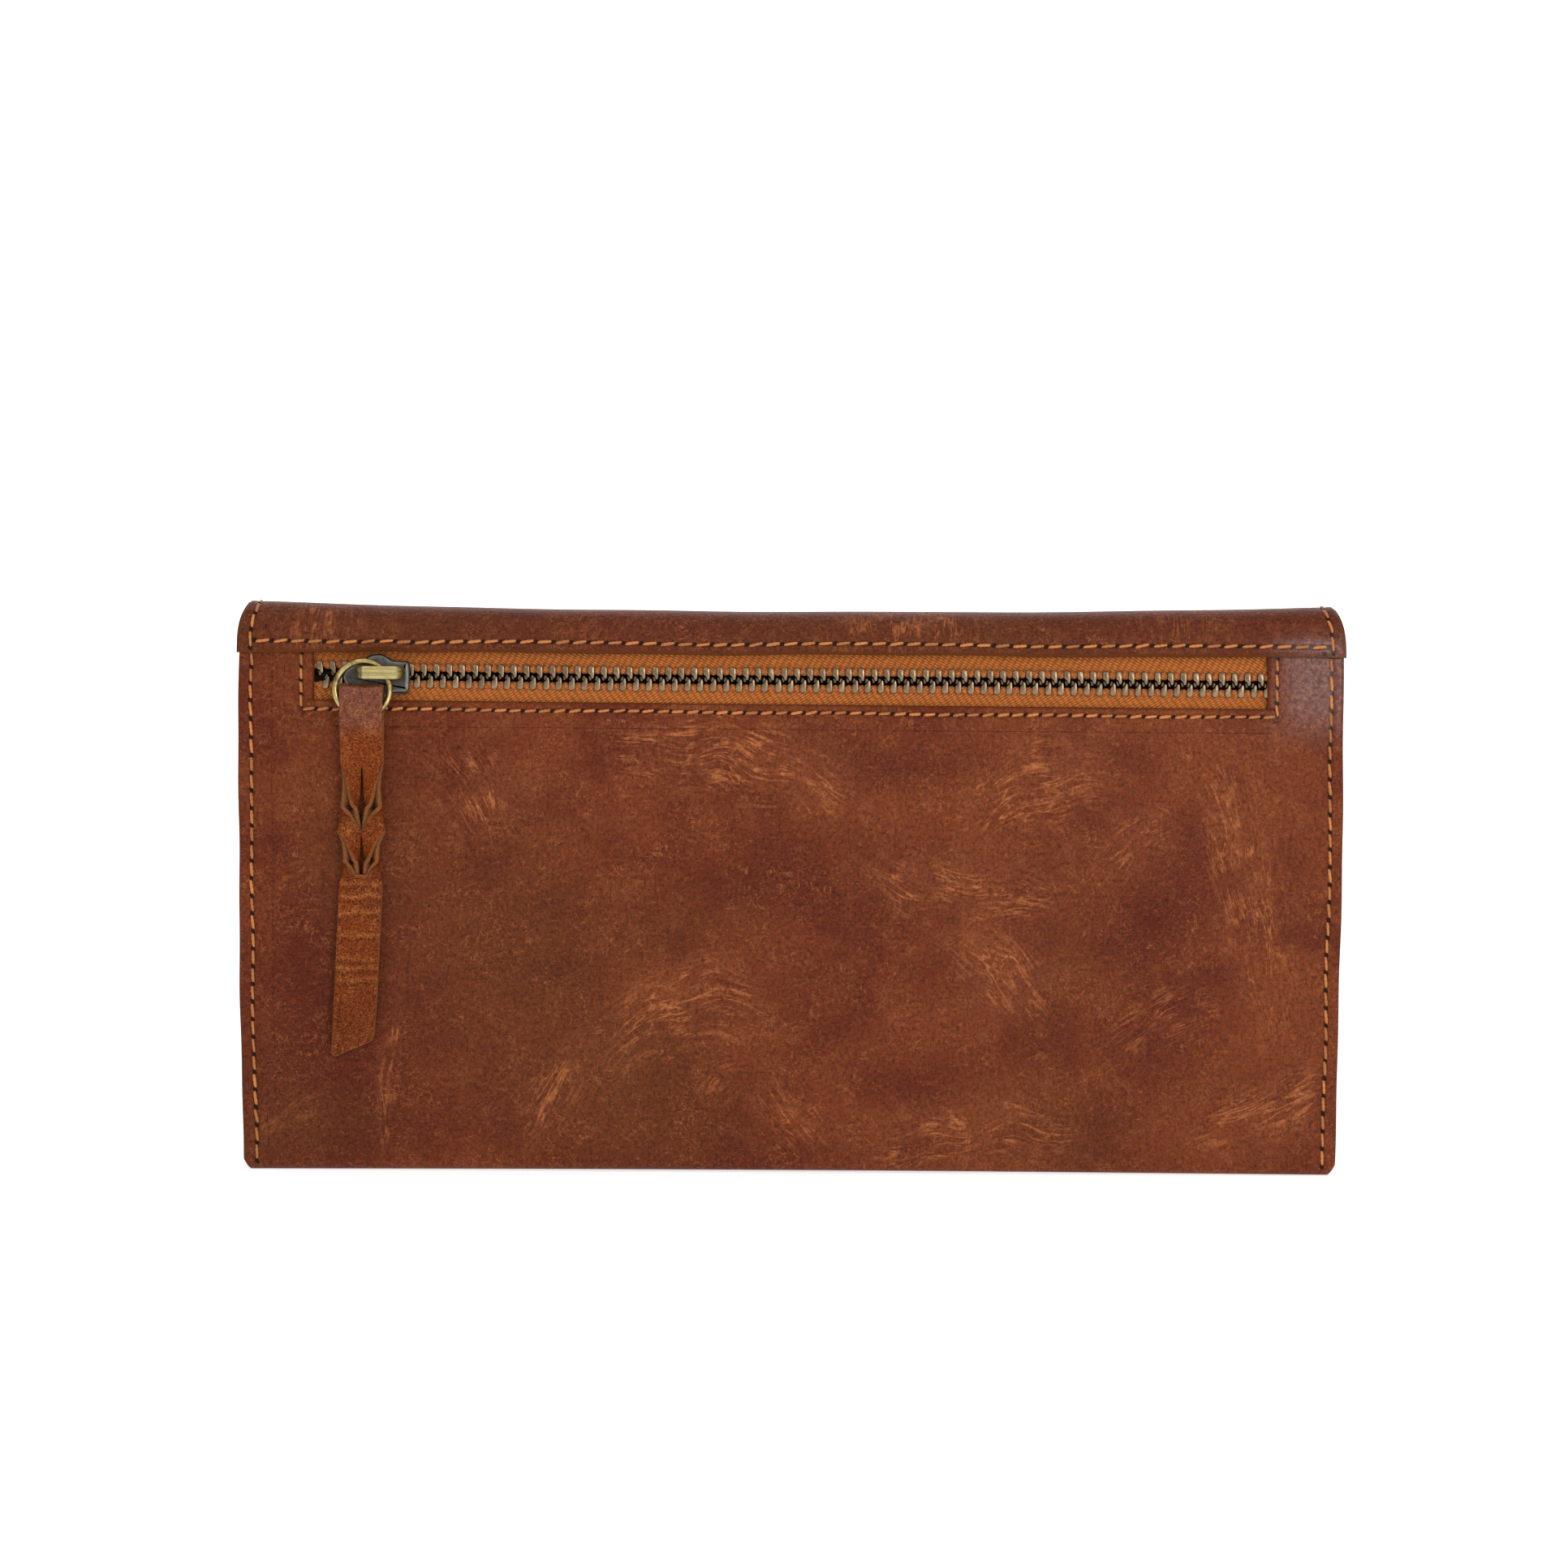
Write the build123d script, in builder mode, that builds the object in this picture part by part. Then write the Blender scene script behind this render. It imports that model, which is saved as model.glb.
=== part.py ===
from build123d import *
import os
from math import cos, pi, radians, sin

os.makedirs("parts", exist_ok=True)

# Driving dimensions, in millimetres. X runs along the wallet, -Y is the zipped back, Z is up.
HEIGHT = 103.0
LEATHER = 1.4
LINING = 0.5
CLOTH = 0.3
THREAD = 0.3

# Side edges of the body: both lean in a little towards the bottom.
LEFT_BOTTOM, LEFT_TOP = -98.5, -100.1
RIGHT_BOTTOM, RIGHT_TOP = 98.7, 100.1
FRONT_OVERHANG = 0.5

# Layers through the thickness, as Y of each face, from the back to the front.
BACK_OUT = -11.0
BACK_IN = BACK_OUT + LEATHER
FLAP_BACK_OUT = BACK_OUT - LEATHER
TAPE = 0.5
TAPE_IN = BACK_IN + TAPE
POCKET_DEPTH = 2.6
POCKET_OUTER_IN = TAPE_IN + CLOTH
POCKET_INNER_OUT = POCKET_OUTER_IN + POCKET_DEPTH
INNER_PLY = 0.4
POCKET_INNER_IN = POCKET_INNER_OUT + INNER_PLY
DIVIDER_BACK, DIVIDER_FRONT = -0.8, 0.0
CARD_LAYER = 0.6
FRONT_LINING_IN = 7.6
FRONT_IN = 8.0
FRONT_OUT = FRONT_IN + LEATHER
FLAP_FRONT_OUT = 13.6
FLAP_FRONT_IN = FLAP_FRONT_OUT - LEATHER
FLAP_LINING_IN = FLAP_FRONT_IN - LINING

# Heights of the edges.
FOLD_TOP = 3.0
FOLD_RADIUS = 2.5
LIFT = 0.3
FLAP_CUT = 93.6
BACK_TOP = 95.5
FRONT_TOP = 92.0
FRONT_CORNER = 4.0
DIVIDER_TOP = 88.0
COVER_BOTTOM = 30.0
COVER_CORNER = 18.0
FLAP_LEFT, FLAP_RIGHT = -100.2, 100.2
WELT_TOP, WELT_INSET, WELT_WIDTH = 91.0, 0.6, 3.6
OUTER_PLY_TOP, OUTER_PLY_INSET = 83.5, 5.0
INNER_PLY_TOP, INNER_PLY_INSET = 91.0, 0.8
DIVIDER_BOTTOM, DIVIDER_INSET = 2.2, 6.6
CARD_TOPS = (76.0, 66.0, 56.0)
CARD_LIFT, CARD_INSET = 1.5, 0.8
FRONT_LINING_INSET, FRONT_LINING_DROP = 1.5, 1.0
COVER_LINING_INSET = 1.2

# Gusset folds, as X of each fold line.
GUSSET_TIP, GUSSET_VALLEY, GUSSET_PEAK = 96.6, 90.6, 95.6
GUSSET_GAP = 0.3

# Flap creases: outer radius, and half the slot between the two sides of a crease.
CREASE = HEIGHT - BACK_TOP
CREASE_GAP = 0.15

# Zip window, chain and tapes.
WINDOW_LEFT, WINDOW_RIGHT = -86.3, 86.1
WINDOW_BOTTOM, WINDOW_TOP = 84.6, 93.9
ZIP_Z = 89.1
ZIP_Y = BACK_IN + TAPE / 2
TOOTH_PITCH = 2.33
TOOTH_THICK = 2.2
CLASP_WIDTH, CLASP_END = 0.95, 2.2
TIP_WIDTH, TIP_REACH = 0.8, 0.15
CLASP_START = 0.85
TAPE_EDGE = 1.0
SPREAD = 0.75
SPREAD_FROM, SPREAD_FULL = -74.2, -77.0
WINDOW_CORNER = 0.5
TAPE_RUN_ON = 3.5
TAPE_TOP, TAPE_BOTTOM = 95.2, 80.5
TEETH_MARGIN = 1.1
STOP_THICK, STOP_WIDTH = 0.9, 1.6
OPEN_STOP_LEFT, OPEN_STOP_Z, OPEN_STOP_HEIGHT = 2.4, 2.6, 1.5
CLOSED_STOP_RIGHT, CLOSED_STOP_HEIGHT = 1.0, 4.4

# Slider, measured from the chain's centre.
SLIDER_LEFT, SLIDER_RIGHT = -81.0, -69.0
SLIDER_NOSE, SLIDER_WIDE, SLIDER_NARROW = 1.6, 4.0, 2.95
SHOULDER_START, SHOULDER, WAIST = -78.6, -74.8, -72.4
FLANGE_START = -76.6
PLATE = 0.8
FLANGE = 0.75
CHANNEL_HALF = 1.35
TAPE_SLOT_HALF = 0.4
BRIDGE_LEFT, BRIDGE_RIGHT = -78.2, -69.7
BRIDGE_BOTTOM, BRIDGE_TOP = 88.65, 91.05
BRIDGE_IN, BRIDGE_OUT = -14.1, -15.3
BRIDGE_LEG = 0.9
BRIDGE_ROUND = 0.5
DIAMOND_MIDDLE, DIAMOND_TIP = -78.0, -76.6
DIAMOND_NOSE_HALF, DIAMOND_HALF = 0.3, 0.38

# Pull ring: it leans out from the eye, so that the strap's back layer fits behind it.
RING_X, RING_Z = -77.2, 87.0
RING_RADIUS = 4.9
RING_WIRE = 0.6
EYE_Y = -13.0
EYE_ANGLE = 36.0
RING_LEAN = 5.0

# Pull strap.
STRAP_X = -77.3
STRAP_HALF = 3.9
STRAP_LEATHER = 0.8
STRAP_BACK = -11.7
STRAP_FRONT = -15.45
STRAP_FOLD_Z = 87.4
STRAP_JOIN_Z = 75.5
BRAID_END_Z = 52.6
BRAID_HALF = 4.6
TAIL_LEAN = -1.5
TAIL_LOW_Z, TAIL_HIGH_Z = 20.2, 23.6
TAIL_CHAMFER_X, TAIL_CHAMFER_Z = 0.6, 0.8
LOOP_DROP = 4.2

# Press stud.
STUD_X, STUD_Z = 0.0, 42.0
STUD_HOLE = 1.6
STUD_SHANK = 1.5
CAP_RADIUS, SOCKET_RADIUS, STUD_RADIUS, POST_RADIUS = 6.25, 5.75, 5.25, 5.0

# Seams.
STITCH_PITCH = 2.9
STITCH_LENGTH = 2.2
STITCH_WIDTH = 0.4
SEAM_INSET = 2.4
SIDE_SEAM_BOTTOM, SIDE_SEAM_TOP = 4.5, 92.0
WINDOW_SEAM_LEFT, WINDOW_SEAM_RIGHT, WINDOW_SEAM_BELOW = 2.3, 1.7, 1.5
WINDOW_SEAM_TOP, WINDOW_SEAM_CORNER = 92.4, 1.2
FLAP_SEAM_Z = 94.6
FRONT_SEAM_DROP, FRONT_SEAM_HALF = 2.2, 92


def left_edge(z):
    """X of the body's left edge at a height."""
    return LEFT_BOTTOM + (LEFT_TOP - LEFT_BOTTOM) * z / HEIGHT


def right_edge(z):
    """X of the body's right edge at a height."""
    return RIGHT_BOTTOM + (RIGHT_TOP - RIGHT_BOTTOM) * z / HEIGHT


def save(piece, name):
    piece.part.label = name
    export_step(piece.part, f"parts/{name}.step")
    return piece


def body_sheet(back, front, bottom, top, inset=0.0, window=False):
    """A sheet across the body between two Y faces, following the body's side edges."""
    middle = ((WINDOW_LEFT + WINDOW_RIGHT) / 2, (WINDOW_BOTTOM + WINDOW_TOP) / 2)
    corners = [
        (left_edge(bottom) + inset, bottom),
        (right_edge(bottom) - inset, bottom),
        (right_edge(top) - inset, top),
        (left_edge(top) + inset, top),
    ]
    with BuildPart() as sheet:
        with BuildSketch(Plane.XZ.offset(-front)):
            with BuildLine():
                Polyline(*corners, close=True)
            make_face()
            if window:
                with Locations(middle):
                    RectangleRounded(
                        WINDOW_RIGHT - WINDOW_LEFT,
                        WINDOW_TOP - WINDOW_BOTTOM,
                        WINDOW_CORNER,
                        mode=Mode.SUBTRACT,
                    )
        extrude(amount=front - back)
    return sheet


# Body shell ------------------------------------------------------------------


def make_back_panel():
    """The zipped back, with its long window."""
    save(body_sheet(BACK_OUT, BACK_IN, FOLD_TOP, BACK_TOP, window=True), "back_panel")


def make_base_fold():
    """The folded bottom: a shallow channel with a flat underside."""
    outer = FRONT_OUT - BACK_OUT
    inner = outer - 2 * LEATHER
    middle = (FRONT_OUT + BACK_OUT) / 2
    with BuildPart() as fold:
        with BuildSketch(Plane.YZ.offset(left_edge(0))):
            with Locations((middle, FOLD_TOP)):
                RectangleRounded(outer, 2 * FOLD_TOP, FOLD_RADIUS)
                RectangleRounded(inner, 2 * (FOLD_TOP - LEATHER), FOLD_RADIUS - LEATHER, mode=Mode.SUBTRACT)
            with Locations((middle, 2 * FOLD_TOP)):
                Rectangle(outer, 2 * FOLD_TOP, mode=Mode.SUBTRACT)
        extrude(amount=right_edge(0) - left_edge(0))
    return save(fold, "base_fold")


def make_side_welts():
    """Filler strips that hold the pocket's depth along both side seams."""
    low, high, inset, width = FOLD_TOP + 1, WELT_TOP, WELT_INSET, WELT_WIDTH
    edges = {"left": (left_edge, 1), "right": (right_edge, -1)}
    for side, (edge, sign) in edges.items():
        corners = [
            (edge(low) + sign * inset, low),
            (edge(low) + sign * (inset + width), low),
            (edge(high) + sign * (inset + width), high),
            (edge(high) + sign * inset, high),
        ]
        with BuildPart() as welt:
            with BuildSketch(Plane.XZ.offset(-POCKET_INNER_OUT)):
                with BuildLine():
                    Polyline(*corners, close=True)
                make_face()
            extrude(amount=POCKET_INNER_OUT - BACK_IN)
        save(welt, f"side_welt_{side}")


def make_pocket_plies():
    outer = body_sheet(TAPE_IN, POCKET_OUTER_IN, FOLD_TOP + 1, OUTER_PLY_TOP, inset=OUTER_PLY_INSET)
    save(outer, "pocket_outer_ply")
    low, top = FOLD_TOP + 1, INNER_PLY_TOP
    inner = body_sheet(POCKET_INNER_OUT, POCKET_INNER_IN, low, top, inset=INNER_PLY_INSET)
    save(inner, "pocket_inner_ply")


def make_gussets():
    """Side bellows folded in twice, with the middle fold at the divider."""
    back, front = POCKET_INNER_IN + GUSSET_GAP, FRONT_LINING_IN - GUSSET_GAP
    middle = (DIVIDER_BACK + DIVIDER_FRONT + 3 * CARD_LAYER) / 2
    tip, valley, peak = GUSSET_TIP, GUSSET_VALLEY, GUSSET_PEAK
    for side, sign in (("left", -1), ("right", 1)):
        with BuildPart() as gusset:
            with BuildSketch(Plane.XY.offset(FOLD_TOP + 2)):
                with BuildLine() as folds:
                    Polyline(
                        (sign * tip, back),
                        (sign * valley, (back + middle) / 2 - GUSSET_GAP),
                        (sign * peak, middle),
                        (sign * valley, (front + middle) / 2 + GUSSET_GAP),
                        (sign * tip, front),
                    )
                trace(folds.edges(), line_width=LINING)
            extrude(amount=DIVIDER_TOP - FOLD_TOP - 3)
        save(gusset, f"gusset_{side}")


# Flap ------------------------------------------------------------------------


def crease_line(centre, radius, start, end):
    """The arc of one crease, in the YZ plane, from one angle to another."""
    return CenterArc(centre, radius, start, end - start)


def flap_section(skin, thickness, first, last, crease_side, free_edge=None):
    """Part of the flap's section on one side of a crease.

    skin is how far the layer's outer face lies inside the flap's outer face. first and last are
    straight ends, and crease_side names the half arcs that belong to the piece. free_edge is the
    Y of the outer face where the piece ends in the flap's free edge.
    """
    back_centre = (FLAP_BACK_OUT + CREASE, HEIGHT - CREASE)
    front_centre = (FLAP_FRONT_OUT - CREASE, HEIGHT - CREASE)
    outer = CREASE - skin
    inner = outer - thickness
    slip = CREASE_GAP / outer * 180 / pi
    arcs = {
        "back_low": (back_centre, 180, 135 + slip),
        "back_high": (back_centre, 135 - slip, 90),
        "front_high": (front_centre, 90, 45 + slip),
        "front_low": (front_centre, 45 - slip, 0),
    }
    with BuildPart() as piece:
        with BuildSketch(Plane.YZ.offset(FLAP_LEFT)):
            for name in crease_side:
                centre, start, end = arcs[name]
                with BuildLine():
                    a = crease_line(centre, outer, start, end)
                    b = crease_line(centre, inner, start, end)
                    Line(a @ 0, b @ 0)
                    Line(a @ 1, b @ 1)
                make_face()
            with BuildLine():
                Polyline(*first, *reversed(last), close=True)
            make_face()
        extrude(amount=FLAP_RIGHT - FLAP_LEFT)
        if free_edge is not None:
            fillet(piece.edges().filter_by(Axis.Y).group_by(Axis.Z)[0], COVER_CORNER)
            with BuildSketch(Plane.XZ.offset(-free_edge)):
                with Locations((STUD_X, STUD_Z)):
                    Circle(STUD_HOLE)
            extrude(amount=thickness, mode=Mode.SUBTRACT)
    return piece


def make_flap_seam_strip():
    """The sewn edge of the flap, up to the first crease."""
    low = [(FLAP_BACK_OUT, FLAP_CUT), (BACK_OUT, FLAP_CUT)]
    high = [(FLAP_BACK_OUT, BACK_TOP), (BACK_OUT, BACK_TOP)]
    return save(flap_section(0, LEATHER, low, high, ["back_low"]), "flap_seam_strip")


def make_flap_top():
    """The flap's top strip between the two creases, in leather with a lining under it."""
    for name, skin, thickness in (("leather", 0, LEATHER), ("lining", LEATHER, LINING)):
        top, under = HEIGHT - skin, HEIGHT - skin - thickness
        back, front = FLAP_BACK_OUT + CREASE, FLAP_FRONT_OUT - CREASE
        first = [(back, top), (back, under)]
        last = [(front, top), (front, under)]
        piece = flap_section(skin, thickness, first, last, ["back_high", "front_high"])
        save(piece, f"flap_top_{name}")


def make_flap_cover():
    """The flap's front below the second crease, with its lower corners rounded."""
    for name, skin, thickness in (("leather", 0, LEATHER), ("lining", LEATHER, LINING)):
        inset = COVER_LINING_INSET if skin else 0.0
        out = FLAP_FRONT_OUT - skin
        bottom = COVER_BOTTOM + inset
        first = [(out, BACK_TOP), (out - thickness, BACK_TOP)]
        last = [(out, bottom), (out - thickness, bottom)]
        piece = flap_section(skin, thickness, first, last, ["front_low"], free_edge=out)
        save(piece, f"flap_cover_{name}")


# Front -----------------------------------------------------------------------


def make_front_sheet(name, back, front, inset, top):
    low = FOLD_TOP + LIFT + inset / 2
    corners = [
        (left_edge(low) + inset, low),
        (right_edge(low) + FRONT_OVERHANG - inset, low),
        (right_edge(top) + FRONT_OVERHANG - inset, top),
        (left_edge(top) + inset + FRONT_OVERHANG, top),
    ]
    with BuildPart() as sheet:
        with BuildSketch(Plane.XZ.offset(-front)) as outline:
            with BuildLine():
                Polyline(*corners, close=True)
            make_face()
            fillet(outline.vertices().group_by(Axis.Z)[-1], FRONT_CORNER)
            with Locations((STUD_X, STUD_Z)):
                Circle(STUD_HOLE, mode=Mode.SUBTRACT)
        extrude(amount=front - back)
    return save(sheet, name)


def make_divider():
    low, inset = DIVIDER_BOTTOM, DIVIDER_INSET
    save(body_sheet(DIVIDER_BACK, DIVIDER_FRONT, low, DIVIDER_TOP, inset=inset), "divider_board")
    for index, top in enumerate(CARD_TOPS):
        back = DIVIDER_FRONT + index * CARD_LAYER
        layer = body_sheet(back, back + CARD_LAYER, low + CARD_LIFT, top, inset=inset + CARD_INSET)
        save(layer, f"card_slot_{index + 1}")


# Press stud ------------------------------------------------------------------


def turned(name, profile):
    """A round part about the press stud's axis, from (radius, Y) points."""
    with BuildPart() as piece:
        with BuildSketch(Plane((STUD_X, 0, STUD_Z), x_dir=(1, 0, 0), z_dir=(0, 0, 1))):
            with BuildLine():
                Polyline(*profile, close=True)
            make_face()
        revolve(axis=Axis((STUD_X, 0, STUD_Z), (0, 1, 0)))
    return save(piece, name)


def make_press_stud():
    socket_back = FLAP_LINING_IN
    turned("snap_cap", [
        (0, socket_back), (STUD_SHANK, socket_back), (STUD_SHANK, FLAP_FRONT_OUT),
        (CAP_RADIUS, FLAP_FRONT_OUT), (CAP_RADIUS, FLAP_FRONT_OUT + 0.3), (5.2, FLAP_FRONT_OUT + 0.8),
        (2.6, FLAP_FRONT_OUT + 1.1), (0, FLAP_FRONT_OUT + 1.2),
    ])
    turned("snap_socket", [
        (0, socket_back), (SOCKET_RADIUS, socket_back), (SOCKET_RADIUS, socket_back - 1.0),
        (5.1, socket_back - 1.5),
        (3.6, socket_back - 1.5), (3.4, socket_back - 0.3), (0, socket_back - 0.3),
    ])
    turned("snap_stud", [
        (0, FRONT_OUT), (STUD_RADIUS, FRONT_OUT), (STUD_RADIUS, FRONT_OUT + 0.3), (4.9, FRONT_OUT + 0.5),
        (2.5, FRONT_OUT + 0.5), (2.4, FRONT_OUT + 0.8), (2.8, FRONT_OUT + 1.2),
        (2.5, FRONT_OUT + 1.6), (0, FRONT_OUT + 1.7),
    ])
    turned("snap_post", [
        (0, FRONT_LINING_IN - 0.5), (POST_RADIUS, FRONT_LINING_IN - 0.5), (POST_RADIUS, FRONT_LINING_IN),
        (STUD_SHANK, FRONT_LINING_IN), (STUD_SHANK, FRONT_OUT), (0, FRONT_OUT),
    ])


# Zip -------------------------------------------------------------------------


def spread(x):
    """How far each row stands off the chain's centre: the rows part left of the slider's nose."""
    share = (SPREAD_FROM - x) / (SPREAD_FROM - SPREAD_FULL)
    return SPREAD * min(max(share, 0.0), 1.0)


def make_zip_tapes():
    left, right = WINDOW_LEFT - TAPE_RUN_ON, WINDOW_RIGHT + TAPE_RUN_ON
    for name, sign, far in (("upper", 1, TAPE_TOP), ("lower", -1, TAPE_BOTTOM)):
        corners = [
            (left, far),
            (right, far),
            (right, ZIP_Z + sign * TAPE_EDGE),
            (SPREAD_FROM, ZIP_Z + sign * TAPE_EDGE),
            (SPREAD_FULL, ZIP_Z + sign * (TAPE_EDGE + SPREAD)),
            (left, ZIP_Z + sign * (TAPE_EDGE + SPREAD)),
        ]
        with BuildPart() as tape:
            with BuildSketch(Plane.XZ.offset(-TAPE_IN)):
                with BuildLine():
                    Polyline(*corners, close=True)
                make_face()
            extrude(amount=TAPE)
        save(tape, f"zip_tape_{name}")


def make_tooth(sign):
    """One tooth at the chain's centre: a nose, and a clasp slotted for the tape."""
    middle = (CLASP_START + CLASP_END) / 2
    slot = CLASP_END - TAPE_EDGE + 0.4
    with BuildPart() as tooth:
        with BuildSketch(Plane.XZ.offset(-(ZIP_Y + TOOTH_THICK / 2))):
            with Locations((0, sign * middle)):
                Rectangle(CLASP_WIDTH, CLASP_END - CLASP_START)
            with Locations((0, sign * (CLASP_START - TIP_REACH) / 2)):
                Rectangle(TIP_WIDTH, CLASP_START + TIP_REACH)
        extrude(amount=TOOTH_THICK)
        with BuildSketch(Plane.XZ.offset(-TAPE_IN - 0.02)):
            with Locations((0, sign * (TAPE_EDGE - 0.05 + slot / 2))):
                Rectangle(2 * CLASP_WIDTH, slot)
        extrude(amount=TAPE + 0.04, mode=Mode.SUBTRACT)
    return tooth


def make_teeth():
    span = WINDOW_RIGHT - WINDOW_LEFT - 2 * TEETH_MARGIN
    count = int(span / TOOTH_PITCH)
    start = WINDOW_LEFT + TEETH_MARGIN
    for name, sign, shift in (("upper", 1, 0.0), ("lower", -1, TOOTH_PITCH / 2)):
        tooth = make_tooth(sign)
        places = [start + shift + index * TOOTH_PITCH for index in range(count)]
        with BuildPart() as row:
            with Locations(*[(x, 0, ZIP_Z + sign * spread(x)) for x in places]):
                add(tooth.part)
        save(row, f"zip_teeth_{name}")


def make_zip_stops():
    """Crimped stops on the tapes' inner face, under the leather at both ends."""
    left, right = WINDOW_LEFT - OPEN_STOP_LEFT, WINDOW_RIGHT + CLOSED_STOP_RIGHT
    with BuildPart() as stops:
        with BuildSketch(Plane.XZ.offset(-TAPE_IN - STOP_THICK)):
            with Locations((left, ZIP_Z + OPEN_STOP_Z), (left, ZIP_Z - OPEN_STOP_Z)):
                RectangleRounded(STOP_WIDTH, OPEN_STOP_HEIGHT, 0.3)
        extrude(amount=STOP_THICK)
    save(stops, "zip_top_stops")
    with BuildPart() as stop:
        with BuildSketch(Plane.XZ.offset(-TAPE_IN - STOP_THICK)):
            with Locations((right + STOP_WIDTH / 2, ZIP_Z)):
                RectangleRounded(STOP_WIDTH, CLOSED_STOP_HEIGHT, 0.4)
        extrude(amount=STOP_THICK)
    save(stop, "zip_bottom_stop")


# Slider, ring and strap --------------------------------------------------------


def mirrored(upper):
    """A closed outline about the chain's centre, from its upper half."""
    lower = [(x, -z) for x, z in reversed(upper)]
    return [(x, ZIP_Z + z) for x, z in upper + lower]


def plate_face():
    """The slider's plate: a blunt nose, wide shoulders, then a narrow end."""
    with BuildSketch(mode=Mode.PRIVATE) as plate:
        with BuildLine():
            Polyline(
                *mirrored([
                    (SLIDER_LEFT, SLIDER_NOSE),
                    (SHOULDER_START, (SLIDER_NOSE + SLIDER_WIDE) / 2 + 0.4),
                    (SHOULDER, SLIDER_WIDE),
                    (WAIST, SLIDER_NARROW),
                    (SLIDER_RIGHT, SLIDER_NARROW),
                ]),
                close=True,
            )
        make_face()
        fillet(plate.vertices(), 0.5)
    return plate.sketch


def channel_face():
    """The space between the flanges, open at both ends of the slider."""
    wide, narrow = SLIDER_WIDE - FLANGE, SLIDER_NARROW - FLANGE
    with BuildSketch(mode=Mode.PRIVATE) as channel:
        with BuildLine():
            Polyline(
                *mirrored([
                    (SLIDER_LEFT - 1, SLIDER_WIDE + 1),
                    (FLANGE_START, SLIDER_WIDE + 1),
                    (FLANGE_START, wide),
                    (SHOULDER, wide),
                    (WAIST, narrow),
                    (SLIDER_RIGHT + 1, narrow),
                ]),
                close=True,
            )
        make_face()
    return channel.sketch


def make_slider_body():
    """Two plates joined by the diamond, with flanges that leave a slot for each tape."""
    plate_out = ZIP_Y - CHANNEL_HALF - PLATE
    plate, channel = plate_face(), channel_face()
    with BuildPart() as body:
        for face in (plate_out + PLATE, ZIP_Y + CHANNEL_HALF + PLATE):
            with BuildSketch(Plane.XZ.offset(-face)):
                add(plate)
            extrude(amount=PLATE)
        for near, far in ((-CHANNEL_HALF, -TAPE_SLOT_HALF), (TAPE_SLOT_HALF, CHANNEL_HALF)):
            with BuildSketch(Plane.XZ.offset(-(ZIP_Y + far))):
                add(plate)
                add(channel, mode=Mode.SUBTRACT)
            extrude(amount=far - near)
        with BuildSketch(Plane.XZ.offset(-(ZIP_Y + CHANNEL_HALF))):
            with BuildLine():
                Polyline(
                    (SLIDER_LEFT + 0.3, ZIP_Z + DIAMOND_NOSE_HALF),
                    (DIAMOND_MIDDLE, ZIP_Z + DIAMOND_HALF),
                    (DIAMOND_TIP, ZIP_Z),
                    (DIAMOND_MIDDLE, ZIP_Z - DIAMOND_HALF),
                    (SLIDER_LEFT + 0.3, ZIP_Z - DIAMOND_NOSE_HALF),
                    close=True,
                )
            make_face()
        extrude(amount=2 * CHANNEL_HALF)
    return save(body, "slider_body")


def make_slider_bridge():
    """A bar on two legs; the ring's wire passes between the bar and the slider."""
    plate_out = ZIP_Y - CHANNEL_HALF - PLATE
    middle = (BRIDGE_LEFT + BRIDGE_RIGHT) / 2
    legs = ((BRIDGE_LEFT, BRIDGE_LEFT + BRIDGE_LEG), (BRIDGE_RIGHT - BRIDGE_LEG, BRIDGE_RIGHT))
    with BuildPart() as bridge:
        with BuildSketch(Plane.XZ.offset(-BRIDGE_IN)):
            with Locations((middle, (BRIDGE_BOTTOM + BRIDGE_TOP) / 2)):
                RectangleRounded(BRIDGE_RIGHT - BRIDGE_LEFT, BRIDGE_TOP - BRIDGE_BOTTOM, BRIDGE_ROUND)
        extrude(amount=BRIDGE_IN - BRIDGE_OUT)
        with BuildSketch(Plane.XZ.offset(-plate_out)):
            for left, right in legs:
                with Locations(((left + right) / 2, (BRIDGE_BOTTOM + BRIDGE_TOP) / 2)):
                    Rectangle(right - left, BRIDGE_TOP - BRIDGE_BOTTOM - 0.8)
        extrude(amount=plate_out - BRIDGE_IN)
    return save(bridge, "slider_bridge")


def make_pull_ring():
    """A closed ring that leans out about its tangent at the bridge's eye."""
    outward = Vector(-cos(radians(EYE_ANGLE)), 0, -sin(radians(EYE_ANGLE)))
    tangent = Vector(-sin(radians(EYE_ANGLE)), 0, cos(radians(EYE_ANGLE)))
    eye = Vector(RING_X, EYE_Y, RING_Z) - outward * RING_RADIUS
    reach = outward * cos(radians(RING_LEAN)) + Vector(0, -sin(radians(RING_LEAN)), 0)
    centre = eye + reach * RING_RADIUS
    normal = tangent.cross(reach)
    with BuildPart() as ring:
        with BuildSketch(Plane(origin=eye, x_dir=reach, z_dir=tangent)):
            Circle(RING_WIRE)
        revolve(axis=Axis(centre, normal))
    return save(ring, "pull_ring")


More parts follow.
